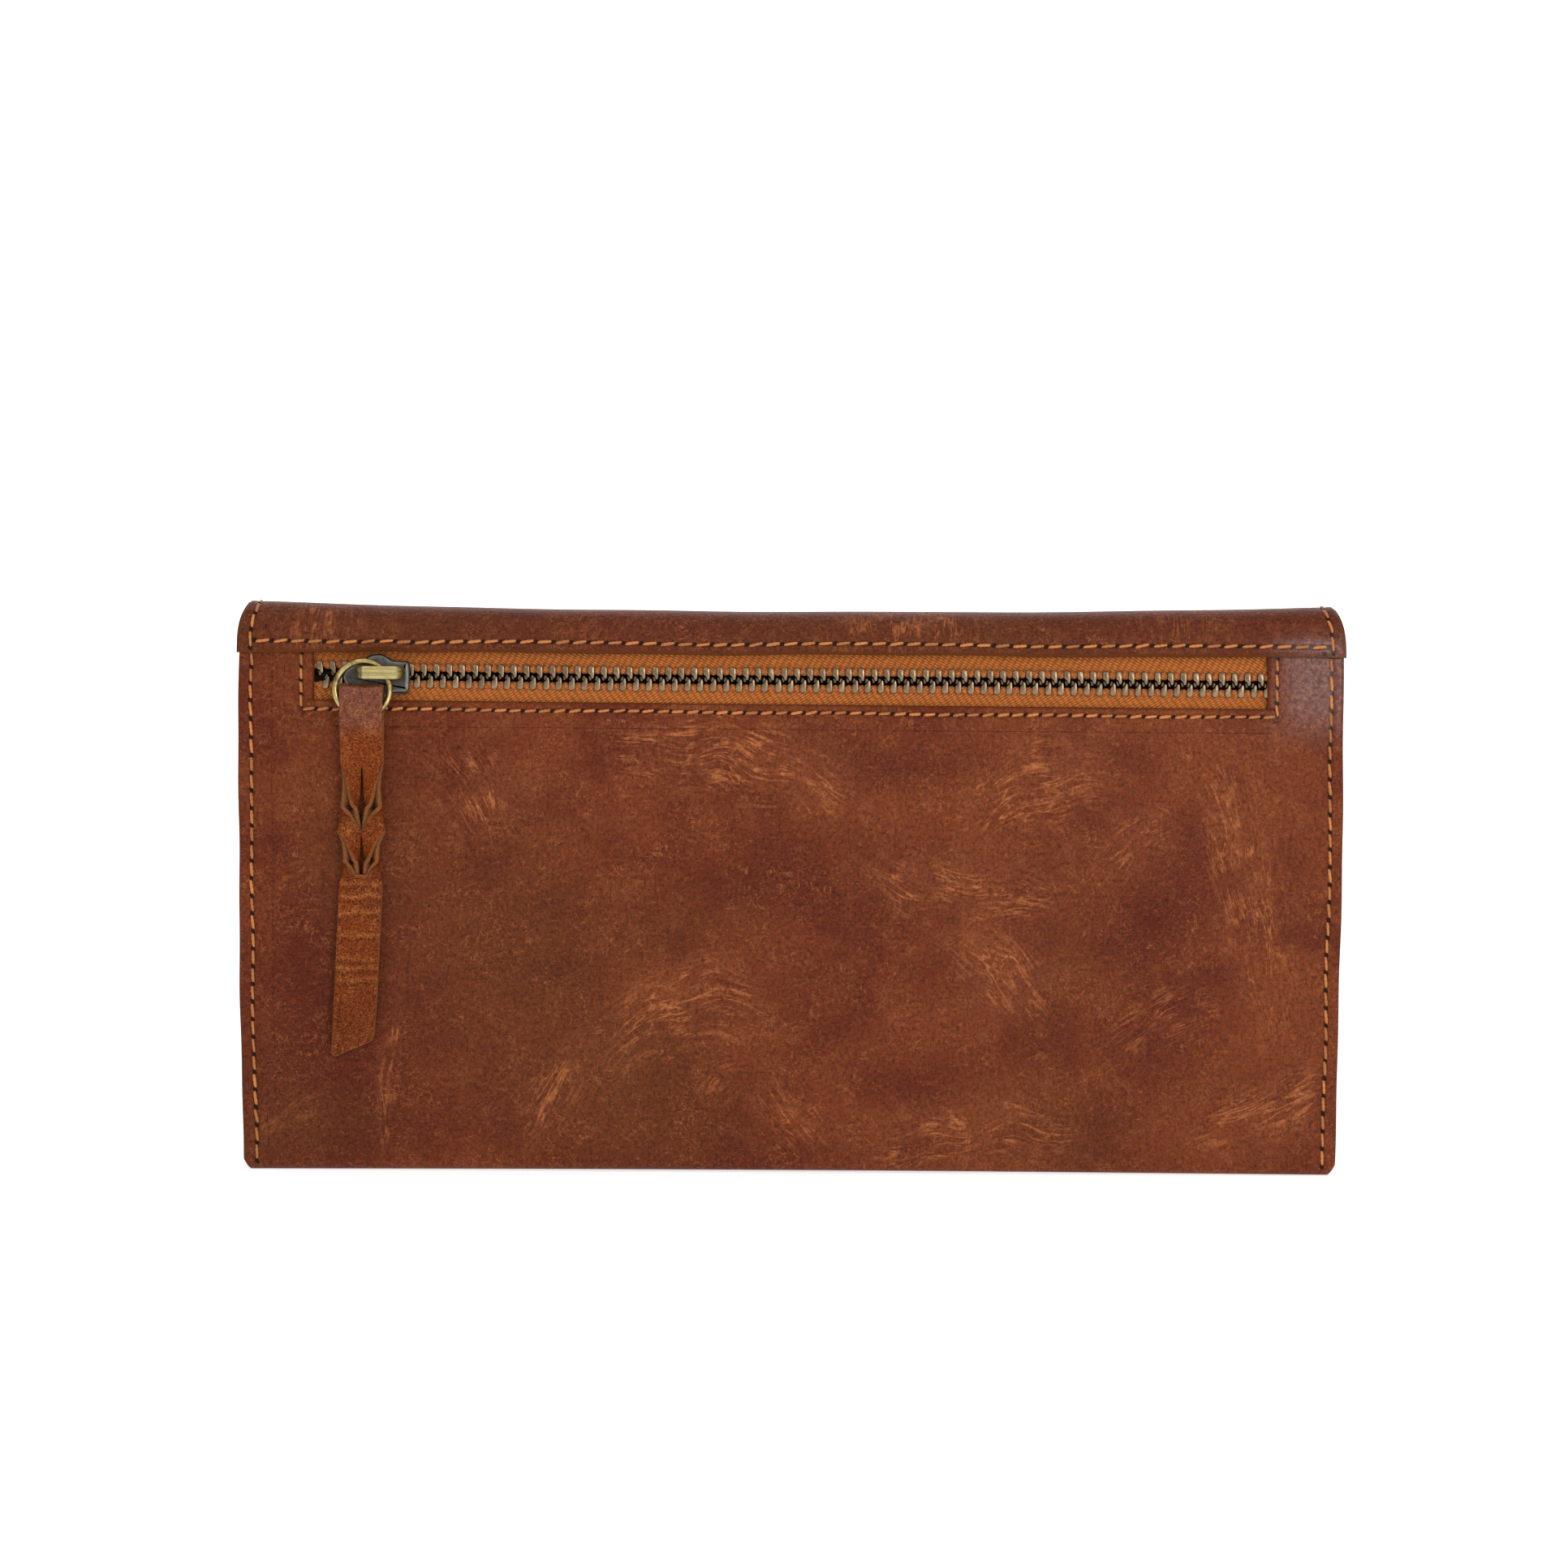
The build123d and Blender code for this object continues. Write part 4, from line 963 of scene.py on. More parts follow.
def make_shell():
    edge = [(-1, 0.014, 0.0016), (1, 0.014, 0.0016)]
    reference = np.array([left_edge(ZIP_Z), right_edge(ZIP_Z)])
    to_u = lambda x: float((x - reference[0]) / (reference[1] - reference[0]) * 2 - 1)
    scale = 2 / float(reference[1] - reference[0])
    fine_u = edge + [(to_u(x), 1.0 * scale, 0.28 * scale) for x in (SEAM_LEFT, SEAM_RIGHT, -97.5, 97.5)]
    fine_u += [(to_u(x), 0.8 * scale, 0.17 * scale) for x in (WINDOW_LEFT, WINDOW_RIGHT)]
    us = lines(-1.0, 1.0, SHELL_STEP * scale, fine_u)
    fine_v = [(BACK_TOP, 0.8, 0.25), (WINDOW_TOP, 0.5, 0.2), (WINDOW_BOTTOM, 0.9, 0.15),
              (SEAM_BELOW, 0.9, 0.25), (0.5, 3.0, 0.5), (-17.0, 3.0, 0.5), (SHELL_END, 1.2, 0.2),
              (FRONT_SEAM_W, 0.9, 0.3)]
    vs = lines(SHELL_END, BACK_TOP, SHELL_STEP, fine_v)
    obj = sheet("outer_shell", us, vs, shell_fit, shell_place, LEATHER, shell_rim,
                keep=outside_window, seams=[*BODY_SEAMS.values(), FRONT_SEAM], dent=overcut,
                fans=BACK_FANS + random_fans(43, 16, SHELL_END + 8, -24.0), tones=back_tones_and_shade)
    dress(obj, "body")
    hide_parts("back_panel", "base_fold", "front_panel")
    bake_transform(obj)


# Flap: sewn strip, two creases and the cover, cut from one hide --------------------

BACK_BEND, FRONT_BEND = FLAP_BACK + CREASE, FLAP_FRONT - CREASE
FLAP = (
    Profile((FLAP_BACK + HALF, FLAP_CUT))
    .to(FLAP_BACK + HALF, BACK_TOP)
    .arc(BACK_BEND, BACK_TOP, CREASE - HALF, 180, 90)
    .to(FRONT_BEND, FLAP_TOP - HALF)
    .arc(FRONT_BEND, BACK_TOP, CREASE - HALF, 90, 0)
    .to(FLAP_FRONT - HALF, COVER_BOTTOM)
    .done()
)
FLAP_END = FLAP_CUT + FLAP.length
FLAP_MIDDLE = FLAP_CUT + (BACK_TOP - FLAP_CUT) + (CREASE - HALF) * pi / 2 + (FRONT_BEND - BACK_BEND) / 2
CREASE_ROUND, PINCH_WIDE = 1.3, 5.0


def top_line(x):
    """How far the flap's top stands off the frame's: it sags between its ends."""
    return 0.25 - 1.65 * (1 - np.abs(np.clip(x / FLAP_HALF, -1, 1)) ** 2.1)


def cut_wave(x):
    """The cut edge isn't quite straight, and rises where it rides over the slider."""
    return 0.10 * np.sin(x / 11.0) + 0.07 * np.sin(x / 4.7 + 1) + 0.45 * np.exp(-((x + 73.5) / 3.6) ** 2)


def flap_place(x, w):
    y, z = FLAP.at(w - FLAP_CUT)
    above = np.clip(z - BACK_TOP, 0, None)
    z = z + above / CREASE * top_line(x)
    sewn = 1 - smooth(w, FLAP_CUT, BACK_TOP + 3)
    z = z + cut_wave(x) * (1 - smooth(w, FLAP_CUT, FLAP_CUT + 4.0))
    y = y - 0.12 * np.sin(x / 13.0) * sewn * smooth(w, FLAP_CUT - 1, FLAP_CUT + 1)
    calm = smooth(w, 104.0, 112.0) * smooth(FLAP_END - w, 1.0, 10.0)
    y = y + ripple(x, w, 21, *COVER_SWELL) * calm
    z = z + ripple(x, w, 22, *TOP_SWELL) * smooth(w, 98.0, 104.0) * (1 - smooth(w, 118.0, 126.0))
    return stacked(x, y, z)


def flap_half(w):
    """Half the flap's width at w: pinched a little at the creases, rounded at the cover's corners."""
    deep = np.clip(COVER_CORNER - (FLAP_END - w), 0, COVER_CORNER)
    corner = COVER_CORNER - np.sqrt(COVER_CORNER ** 2 - deep ** 2)
    back, front = (CREASE_ROUND * np.exp(-((w - FLAP_MIDDLE - off) / PINCH_WIDE) ** 2) for off in (-7, 7))
    return FLAP_HALF - corner - np.maximum(back, front) * 0.9


def flap_fit(u, w):
    return u * flap_half(w)


def flap_rim(x, w):
    straight = np.minimum(FLAP_HALF - np.abs(x), np.minimum(w - FLAP_CUT, FLAP_END - w))
    pinch = flap_half(w) - np.abs(x)
    ax, aw = np.abs(x) - (FLAP_HALF - COVER_CORNER), COVER_CORNER - (FLAP_END - w)
    round_off = COVER_CORNER - np.hypot(ax, aw)
    in_corner = (ax > 0) & (aw > 0)
    off = np.where(in_corner, round_off, np.minimum(straight, np.where(aw > 0, straight, pinch)))
    return np.maximum(off, 0)


def cover_path():
    """The seam round the cover's free edge, 2.4 mm in."""
    inset = SIDE_INSET
    side, low, radius = FLAP_HALF - inset, FLAP_END - inset, COVER_CORNER - inset
    start = FLAP_END - (BACK_TOP - COVER_BOTTOM)
    points = [(-side, start)]
    for centre, first, last in ((radius - side, 180, 90), (side - radius, 90, 0)):
        for angle in np.radians(np.linspace(first, last, 24)):
            points.append((centre + radius * cos(angle), low - radius + radius * sin(angle)))
    return points + [(side, start)]


def over_crease(sign):
    """The side seams run on over the crease."""
    marks = np.linspace(FLAP_CUT + 0.8, 107.0, 20)
    return [(sign * (flap_half(mark) - SIDE_INSET - 0.1), mark) for mark in marks]


def flap_line():
    marks = np.linspace(-97.0, 96.8, 80)
    return stacked(marks, SEAM_TOP + 0.05 + 0.12 * np.sin(marks / 9.0))


FLAP_SEAMS = {
    "flap": Seam(flap_line(), FLAP_PITCH, 0.16),
    "left_top": Seam(over_crease(-1), SIDE_PITCH),
    "right_top": Seam(over_crease(1), SIDE_PITCH),
}
COVER_SEAM = Seam(cover_path(), HIDDEN_PITCH)


def random_fans(seed, count, low, high):
    rng = np.random.default_rng(seed)
    fans = []
    for _ in range(count):
        fans.append((rng.uniform(-92, 92), rng.uniform(low, high), rng.uniform(9, 26), rng.uniform(4, 9),
                     rng.uniform(-70, 70), rng.uniform(-0.2, 0.35), rng.uniform(0.4, 0.95)))
    return fans


def cover_tones(x, w):
    rng = np.random.default_rng(31)
    tones = []
    for _ in range(3):
        places = [(rng.uniform(-95, 95), rng.uniform(100, 195), rng.uniform(5, 16), rng.uniform(4, 12),
                   rng.uniform(0.3, 0.9)) for _ in range(14)]
        tones.append(spots(x, w, places))
    return np.stack(tones, -1)


def band_tones_and_shade(x, w):
    # Darker towards the top of the band, where the flap rolls over the top: painted shade.
    shade = smooth(w, 97.0, 103.0)
    return stacked(0.35 * shade + 0.2, 0.15 + 0 * x, 0.4 * (0.5 + 0.5 * np.sin(x / 17.0)))


BAND_FANS = [(-85, 99, 9, 10, 88, 0.0, 0.5), (22, 99, 9, 18, 92, 0.0, 0.5), (-35, 100, 8, 12, 80, 0.0, 0.3),
             (70, 100, 8, 14, 96, 0.0, 0.35)]


def make_flap():
    scale = 1 / FLAP_HALF
    us = lines(-1.0, 1.0, 1.5 * scale, [(side, 1.4 * scale, 0.16 * scale) for side in (-1, 1)]
               + [(side * 97.6 * scale, 0.8 * scale, 0.3 * scale) for side in (-1, 1)])
    rows = lines(FLAP_CUT, FLAP_MIDDLE, 0.7, [(FLAP_CUT, 1.6, 0.15), (SEAM_TOP, 0.9, 0.25)])
    strip = sheet("flap_back", us, rows, flap_fit, flap_place, LEATHER, flap_rim, rim_round=1.0,
                  seams=list(FLAP_SEAMS.values()), tones=band_tones_and_shade, fans=BAND_FANS,
                  bevel=(0.9, 0.45))
    dress(strip, "flap")
    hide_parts("flap_seam_strip")
    bend_back(strip)
    rows = lines(FLAP_MIDDLE, FLAP_END, 1.5, [(FLAP_END, 4.0, 0.3), (FLAP_MIDDLE + 10, 9.0, 0.9)])
    cover = sheet("flap_cover", us, rows, flap_fit, flap_place, LEATHER, flap_rim,
                  seams=[COVER_SEAM], tones=cover_tones, fans=random_fans(42, 22, 112, 190))
    dress(cover, "cover")
    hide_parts("flap_top_leather", "flap_cover_leather")
    bend_front(cover)


def bend_back(obj):
    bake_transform(obj)


def bend_front(obj):
    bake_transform(obj)


LINING_INSET, LINING_THICK, LINING_GAP = 1.2, 0.5, 0.27


def lining_place(x, w):
    return flap_place(x, w) + normals(flap_place, x, w, 1) * -(HALF + LINING_GAP)


def lining_fit(u, w):
    return u * (flap_half(w) - LINING_INSET)


def lining_rim(x, w):
    return np.maximum(flap_half(w) - LINING_INSET - np.abs(x), 0)


def make_flap_linings():
    us = lines(-1.0, 1.0, 0.03)
    low, high = BACK_TOP + 1.0, FLAP_END - LINING_INSET
    cover_rows = lines(FLAP_MIDDLE, high, 1.6, [(high, 4.0, 0.5)])
    for name, node, rows, bend in (
        ("flap_lining_back", "flap_top_lining", lines(low, FLAP_MIDDLE, 1.2), bend_back),
        ("flap_lining_cover", "flap_cover_lining", cover_rows, bend_front),
    ):
        obj = sheet(name, us, rows, lining_fit, lining_place, LINING_THICK, lining_rim)
        dress(obj, "lining")
        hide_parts(node)
        bend(obj)


def panel(node, material, slot, body, seed, round_off=None, wave=0.08, facing=1):
    """A flat inner panel, filling its node's box with softly rounded edges."""
    low, high = LOW[node], HIGH[node]
    thick = high[Y] - low[Y]
    middle = (low[Y] + high[Y]) / 2
    us = lines(-1.0, 1.0, 0.03, [(side, 0.01, 0.003) for side in (-1, 1)])
    vs = lines(low[Z], high[Z], 2.2, [(high[Z], 1, 0.25)])
    centre, half = (low[X] + high[X]) / 2, (high[X] - low[X]) / 2

    def place(x, w):
        lean = np.where(x < 0, left_edge(w) - left_edge(high[Z]), right_edge(w) - right_edge(high[Z]))
        x_leant = x + lean * np.minimum(np.abs(x) / 90, 1)
        return stacked(x_leant, middle + ripple(x, w, seed, PANEL_SWELL, wave), w)

    def rim(x, w):
        return np.minimum(half - np.abs(x - centre), np.minimum(w - low[Z], high[Z] - w)).clip(0)

    obj = sheet(node + "_piece", us, vs, lambda u, w: centre + u * half, place, thick, rim,
                sign=facing, rim_round=round_off)
    settle(obj, material, slot, body, node)


def make_inside():
    panel("pocket_outer_ply", "lining", "lining", "pouch", 51, wave=0.03)
    panel("pocket_inner_ply", "lining", "lining", "pouch", 52, wave=0.03)
    panel("front_lining", "lining", "lining", "front", 53, wave=0.0)
    panel("divider_board", "card", "card_leather", "divider", 54, wave=0.0)
    for index in (1, 2, 3):
        panel(f"card_slot_{index}", "card", "card_leather", "divider", 54 + index, wave=0.03, facing=-1)
    panel("side_welt_left", "welt", "welt_leather", "pouch", 58, 0.5, 0.0)
    panel("side_welt_right", "welt", "welt_leather", "pouch", 59, 0.5, 0.0)


GUSSET = [(96.6, -5.5), (90.6, -2.8), (95.6, 0.5), (90.6, 4.2), (96.6, 7.3)]
GUSSET_THICK = 0.42


def make_gusset(name, side):
    """A W of cloth between the back and the front."""
    path = chaikin(GUSSET, 3)
    run = lengths(path)
    low, high = LOW[name][Z], HIGH[name][Z]

    def place(s, w):
        x = np.interp(s, run, path[:, 0]) + 0.2 * np.sin(w / 6.0)
        return stacked(side * x, np.interp(s, run, path[:, 1]), w)

    def rim(s, w):
        return np.minimum(np.minimum(s, run[-1] - s), np.minimum(w - low, high - w)).clip(0)

    obj = sheet(name + "_piece", lines(0, run[-1], 0.5), lines(low, high, 1.5), as_it_is, place,
                GUSSET_THICK, rim)
    dress(obj, "gusset")
    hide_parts(name)
    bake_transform(obj)


# Stitching --------------------------------------------------------------------


def make_stitches():
    body = [(seam, shell_place, HALF, 1) for seam in BODY_SEAMS.values()]
    flap = {key: (seam, flap_place, HALF, 1) for key, seam in FLAP_SEAMS.items()}
    for name, rows, node, body_name, seed in (
        ("stitches_left", body[:1], "stitch_side_left", "pouch", 61),
        ("stitches_right", body[1:2], "stitch_side_right", "pouch", 62),
        ("stitches_window", body[2:], "stitch_zip_window", "pouch", 63),
        ("stitches_flap", [flap["flap"]], "stitch_flap_seam", "pouch", 64),
        ("stitches_crease", [flap["left_top"], flap["right_top"]], None, None, 65),
        ("stitches_front", [(FRONT_SEAM, shell_place, HALF, 1)], "stitch_front_top", "front", 66),
        ("stitches_cover", [(COVER_SEAM, flap_place, HALF, 1)], "stitch_flap_edge", "flap_cover", 67),
    ):
        obj = threads(name, rows, seed)
        if node:
            settle(obj, "thread", "thread", body_name, node)
        else:
            bend_back(dress(obj, "thread"))


# Zip --------------------------------------------------------------------------

PITCH = 2.33
FIRST_TOOTH = LOW["zip_teeth_upper"][X] + 0.5
TOOTH_COUNT = 74
SLIDER_X = (LOW["slider_body"][X] + HIGH["slider_body"][X]) / 2
CHAIN_SLOPE = -0.0050
SPREAD = 0.32
TOOTH = [(-0.58, 2.25), (0.58, 2.25), (0.60, 0.9), (0.54, 0.1), (0.36, -0.12), (0.04, -0.05), (-0.08, 0.55),
         (-0.58, 0.80)]
HEAD = [(-0.55, 0.5), (0.15, 0.6), (0.2, -0.45), (-0.45, -0.5)]
TOOTH_FRONT, TOOTH_BACK = LOW["zip_teeth_upper"][Y], HIGH["zip_teeth_upper"][Y]


def chain_rise(x):
    """The chain slopes down a little from left to right, and swings about."""
    return CHAIN_SLOPE * x + 0.06 * np.sin(x / 17.0)


def spread(x):
    """The rows part to the left of the slider."""
    return SPREAD * smooth(-x, -(SLIDER_X + 1), -(SLIDER_X - 6.0))


def make_teeth(name, node, side, shift, seed):
    rng = np.random.default_rng(seed)
    parts, wear = [], []
    outline = chaikin(np.array(TOOTH) * (1, side), 1, closed=True)
    head = chaikin(np.array(HEAD) * (1, side), 2, closed=True)
    front, back = TOOTH_FRONT + 0.02, TOOTH_BACK
    top = np.concatenate([np.repeat([1.0, 0.8, 0.1, 0.0, 0.0], len(outline)),
                          np.repeat([0.5, 0.2, 0.0, 0.0], len(head))])
    body = slab(outline, [(front, 0.11), (front + 0.04, 0.04), (front + 0.14, 0.0), (back - 0.1, 0.0),
                          (back, 0.1)])
    hook = slab(head, [(front + 0.55, 0.12), (front + 0.7, 0.0), (back - 0.4, 0.0), (back - 0.3, 0.1)])
    for k in range(TOOTH_COUNT):
        x0 = FIRST_TOOTH + k * PITCH + shift
        part = float(spread(np.array(x0)))
        points, faces = merge([body, hook])
        tilt = radians(rng.normal(0, 1.2)) + side * radians(8) * part / SPREAD
        x, z = points[:, 0].copy(), points[:, 2].copy()
        points[:, 0] = x0 + x * cos(tilt) - z * sin(tilt) + rng.normal(0, 0.02)
        points[:, 2] = ZIP_Z + x * sin(tilt) + z * cos(tilt) + side * part
        points[:, 1] += rng.normal(0, 0.015) + 0.06 * (points[:, 0] - x0) * rng.normal(0, 1)
        points[:, 2] += chain_rise(points[:, 0])
        parts.append((points, faces))
        wear.append(top * rng.uniform(0.75, 1.0))
    points, faces = merge(parts)
    obj = new_object(name, points, faces, {"wear": np.concatenate(wear)})
    settle(obj, "teeth", "teeth_metal", "pouch", node)


def make_tape(name, node, side, material):
    edge = ZIP_Z + side * 1.0
    far = HIGH[node][Z] if side > 0 else LOW[node][Z]
    low, high = sorted((edge, far))

    def place(x, w):
        near = 1 - np.abs(w - edge) / (high - low)
        lift = (chain_rise(x) + side * spread(x)) * near
        y = TAPE_Y + 0.10 * np.sin(x / 15.0) * near - 0.05 * np.sin(x * tau / PITCH) * smooth(near, 0.6, 1.0)
        return stacked(x, y, w + lift)

    def rim(x, w):
        return np.minimum(w - low, high - w).clip(0)

    obj = sheet(name, lines(LOW[node][X], HIGH[node][X], 0.6), lines(low, high, 0.6), as_it_is, place,
                TAPE, rim)
    settle(obj, material, "tape", "pouch", node)


def make_bead(name, side, material):
    """The corded edge that the teeth are clenched on, swelling between them."""
    step = PITCH / 10
    x = np.arange(LOW["zip_tape_upper"][X] + 1, HIGH["zip_tape_upper"][X] - 0.5, step)
    shift = 0.0 if side > 0 else PITCH / 2
    phase = np.cos((x - FIRST_TOOTH - shift) / PITCH * tau)
    half_z, half_y = 0.62 - 0.16 * phase, 0.70 - 0.22 * phase
    path = stacked(x, np.full(len(x), TAPE_Y), ZIP_Z + side * (1.55 + spread(x)) + chain_rise(x))
    angle = np.linspace(0, tau, 14, endpoint=False)
    y, z = half_y[:, None] * np.cos(angle), half_z[:, None] * np.sin(angle)
    points, faces = sweep(path, stacked(0 * y, y, z))
    obj = new_object(name, points, faces, {"flat": points[:, [0, 2, 1]]})
    settle(obj, material, "tape", "pouch")


SLIDER_TOP = [(-81.0, 0.3), (-80.4, 1.5), (-78.8, 2.3), (-77.2, 3.3), (-75.8, 4.1), (-74.4, 4.25),
              (-73.2, 3.95), (-72.4, 3.2), (-71.6, 2.98), (-69.6, 2.95), (-68.95, 2.6)]


# The front plate's domed face, as depths and insets of its outline.
SLIDER_FRONT = [(0, 0.85), (0.03, 0.5), (0.12, 0.25), (0.3, 0.08), (0.55, 0.0), (0.8, 0.02), (0.86, 0.15)]
SLIDER_WALL = [(-76.2, 2.85), (-69.2, 2.72), (-69.2, 2.93), (-76.2, 3.2)]
SLIDER_WEDGE = [(-80.6, 0.0), (-79.0, 0.75), (-77.2, 0.0), (-79.0, -0.75)]


def slider_outline():
    top = np.array(SLIDER_TOP)
    bottom = top[::-1] * (1, -0.92)
    return chaikin(np.concatenate([top, bottom]), 3, closed=True) + (0, ZIP_Z + 0.05)


def make_slider():
    low, high = LOW["slider_body"], HIGH["slider_body"]
    outline = slider_outline()[::-1]
    front, back = low[Y], high[Y]
    plates = [slab(outline, [(front + deep, inset) for deep, inset in SLIDER_FRONT]),
              slab(outline, [(back - 0.8, 0.1), (back - 0.6, 0.0), (back - 0.2, 0.05), (back, 0.4)])]
    between = [(front + 0.7, 0.0), (back - 0.7, 0.0)]
    for side in (-1, 1):
        plates.append(slab(np.array(SLIDER_WALL) * (1, side) + (0, ZIP_Z), between))
    plates.append(slab(chaikin(SLIDER_WEDGE, 2, closed=True) + (0, ZIP_Z), between))
    points, faces = merge(plates)
    wear = np.full(len(points), 0.15)
    count = len(outline)
    for level, value in enumerate((0.25, 0.5, 0.95, 0.6, 0.3)):
        wear[level * count:(level + 1) * count] = value
    obj = new_object("slider", points, faces, {"wear": wear})
    settle(obj, "slider", "slider_metal", "slider", "slider_body")


def make_bridge():
    low, high = LOW["slider_bridge"], HIGH["slider_bridge"]
    centre, half = (low[Z] + high[Z]) / 2, (high[Z] - low[Z]) / 2
    foot, top = HIGH["slider_bridge"][Y] - 0.2, low[Y] + 0.5
    left, right = low[X] + 0.45, high[X] - 0.45
    path = chaikin([(left, foot), (left, top + 1.0), (left + 0.1, top), (left + 1.3, top), (right - 1.3, top),
                    (right - 0.1, top + 0.05), (right, top + 1.1), (right, foot)], 3)
    tangent = unit(np.gradient(path, axis=0))
    out = stacked(tangent[:, 1], -tangent[:, 0])
    angle = np.linspace(0, tau, 28, endpoint=False)
    z = half * np.sign(np.cos(angle)) * np.abs(np.cos(angle)) ** 0.7
    thick = 0.5 * np.sign(np.sin(angle)) * np.abs(np.sin(angle)) ** 0.55
    thick = thick - 0.24 * np.exp(-(z / 0.16) ** 2) * (thick > 0)
    swell = 1 - 0.12 * smooth(np.abs(path[:, 0] - (left + right) / 2), 2.6, 4.2)
    rings = stacked(out[:, :1] * thick, out[:, 1:] * thick, swell[:, None] * z)
    line = stacked(path[:, 0], path[:, 1], np.full(len(path), centre))
    points, faces = sweep(line, rings)
    apart = np.abs(points[:, 0] - (left + right) / 2)
    wear = (1 - smooth(apart, 2.9, 3.4)) * (0.4 + 0.6 * (np.tile(thick, len(path)) > 0.2))
    obj = new_object("slider_bar", points, faces, {"wear": wear})
    settle(obj, "bridge", "bridge_metal", "slider", "slider_bridge")


RING_CENTRE = np.array((-77.2, -13.4, 87.0))
RING_EYE = np.array((-73.24, -13.0, 89.88))
RING_TANGENT = (-0.588, 0.0, 0.809)
RING_RADIUS, RING_WIRE = 4.9, 0.58


def make_ring():
    reach = unit(RING_CENTRE - RING_EYE)
    tangent = unit(np.array(RING_TANGENT))
    normal = unit(np.cross(tangent, reach))
    turn = np.linspace(0, tau, 160, endpoint=False)[:, None]
    spoke = reach * np.cos(turn) + tangent * np.sin(turn)
    radius = RING_RADIUS + 0.03 * np.sin(3 * turn)
    angle = np.linspace(0, tau, 24, endpoint=False)[None, :, None]
    rings = spoke[:, None] * (RING_WIRE * np.cos(angle)) + normal * (RING_WIRE * np.sin(angle))
    points, faces = sweep(RING_CENTRE + spoke * radius, rings, closed=True)
    wear = 0.55 + 0.35 * np.sin(points[:, 0] * 1.3 + points[:, 2] * 0.9)
    obj = new_object("ring", points, faces, {"wear": wear})
    settle(obj, "ring", "ring_metal", "pull_ring", "pull_ring")


def make_stops():
    for name, node, places in (("stops_open", "zip_top_stops", [(-88.7, 2.6), (-88.7, -2.6)]),
                               ("stop_closed", "zip_bottom_stop", [(87.9, 0.0)])):
        low, high = LOW[node], HIGH[node]
        half_z = 0.9 if len(places) > 1 else (high[Z] - low[Z]) / 2 - 0.05
        half_x = min(0.7, (high[X] - low[X]) / 2)
        levels = [(low[Y], 0.15), (low[Y] + 0.15, 0.0), (high[Y] - 0.2, 0.0), (high[Y], 0.25)]
        square = np.array([(-1, -1), (1, -1), (1, 1), (-1, 1)]) * (half_x, half_z)
        parts = [slab(chaikin(square + (x, ZIP_Z + z), 3, closed=True), levels) for x, z in places]
        points, faces = merge(parts)
        obj = new_object(name, points, faces, {"wear": np.full(len(points), 0.4)})
        settle(obj, "teeth", "teeth_metal", "pouch", node)


# Pull strap: a doubled strip, slit and passed once through itself --------------------

STRAP_X, STRAP_HALF, STRAP_LEATHER = -77.3, 3.9, 0.8
SQUEEZE, TAIL_LEAN = 0.50, 0.040  # the braid's turns are pressed flat, and the tail leans left
SLIT_TOP, SLIT_END = 72.9, 53.3
# Up the braid: height and how far each half has turned, then height and half the pull's width.
TURNS = np.array([(51.8, 360), (52.5, 340), (53, 326), (53.6, 306), (54.4, 290), (55.2, 277), (56.2, 265),
                  (57.2, 257), (58, 249), (59, 235), (60.2, 212), (61.2, 180), (62, 158), (62.6, 140),
                  (63.4, 122), (64.2, 108), (65, 96), (66, 85), (67, 78), (68, 70), (69.5, 55), (71, 35),
                  (72.5, 10), (74, 0)])
PULL_WIDTH = np.array([(51.8, 3.9), (53, 3.95), (54, 4.0), (56, 4.1), (57.2, 4.0), (59, 4.0), (61, 4.5),
                       (63, 4.65), (65, 4.8), (66, 4.75), (67, 4.45), (69, 4.05), (71, 3.9), (75.5, 3.9)])
STRAP_FRONT, STRAP_BACK = -12.9, -12.1
STRAP_MID = (STRAP_FRONT + STRAP_BACK) / 2
STRAP_FOOT, PLIES_MEET = 20.3, 75.5
STRAP = (
    Profile((STRAP_FRONT, STRAP_FOOT))
    .to(STRAP_FRONT, PLIES_MEET)
    .to(-15.0, 81.3)
    .to(-15.05, 85.5)
    .arc(-13.575, 85.5, 1.475, 180, 0)
    .to(STRAP_BACK, PLIES_MEET)
    .to(STRAP_BACK, STRAP_FOOT)
    .done()
)


def strap_end(x):
    """The slanted cut at the tail's foot."""
    return 1.7 * (x / STRAP_HALF + 1) + 0.9 * smooth(np.abs(x), 2.9, 3.95) ** 2


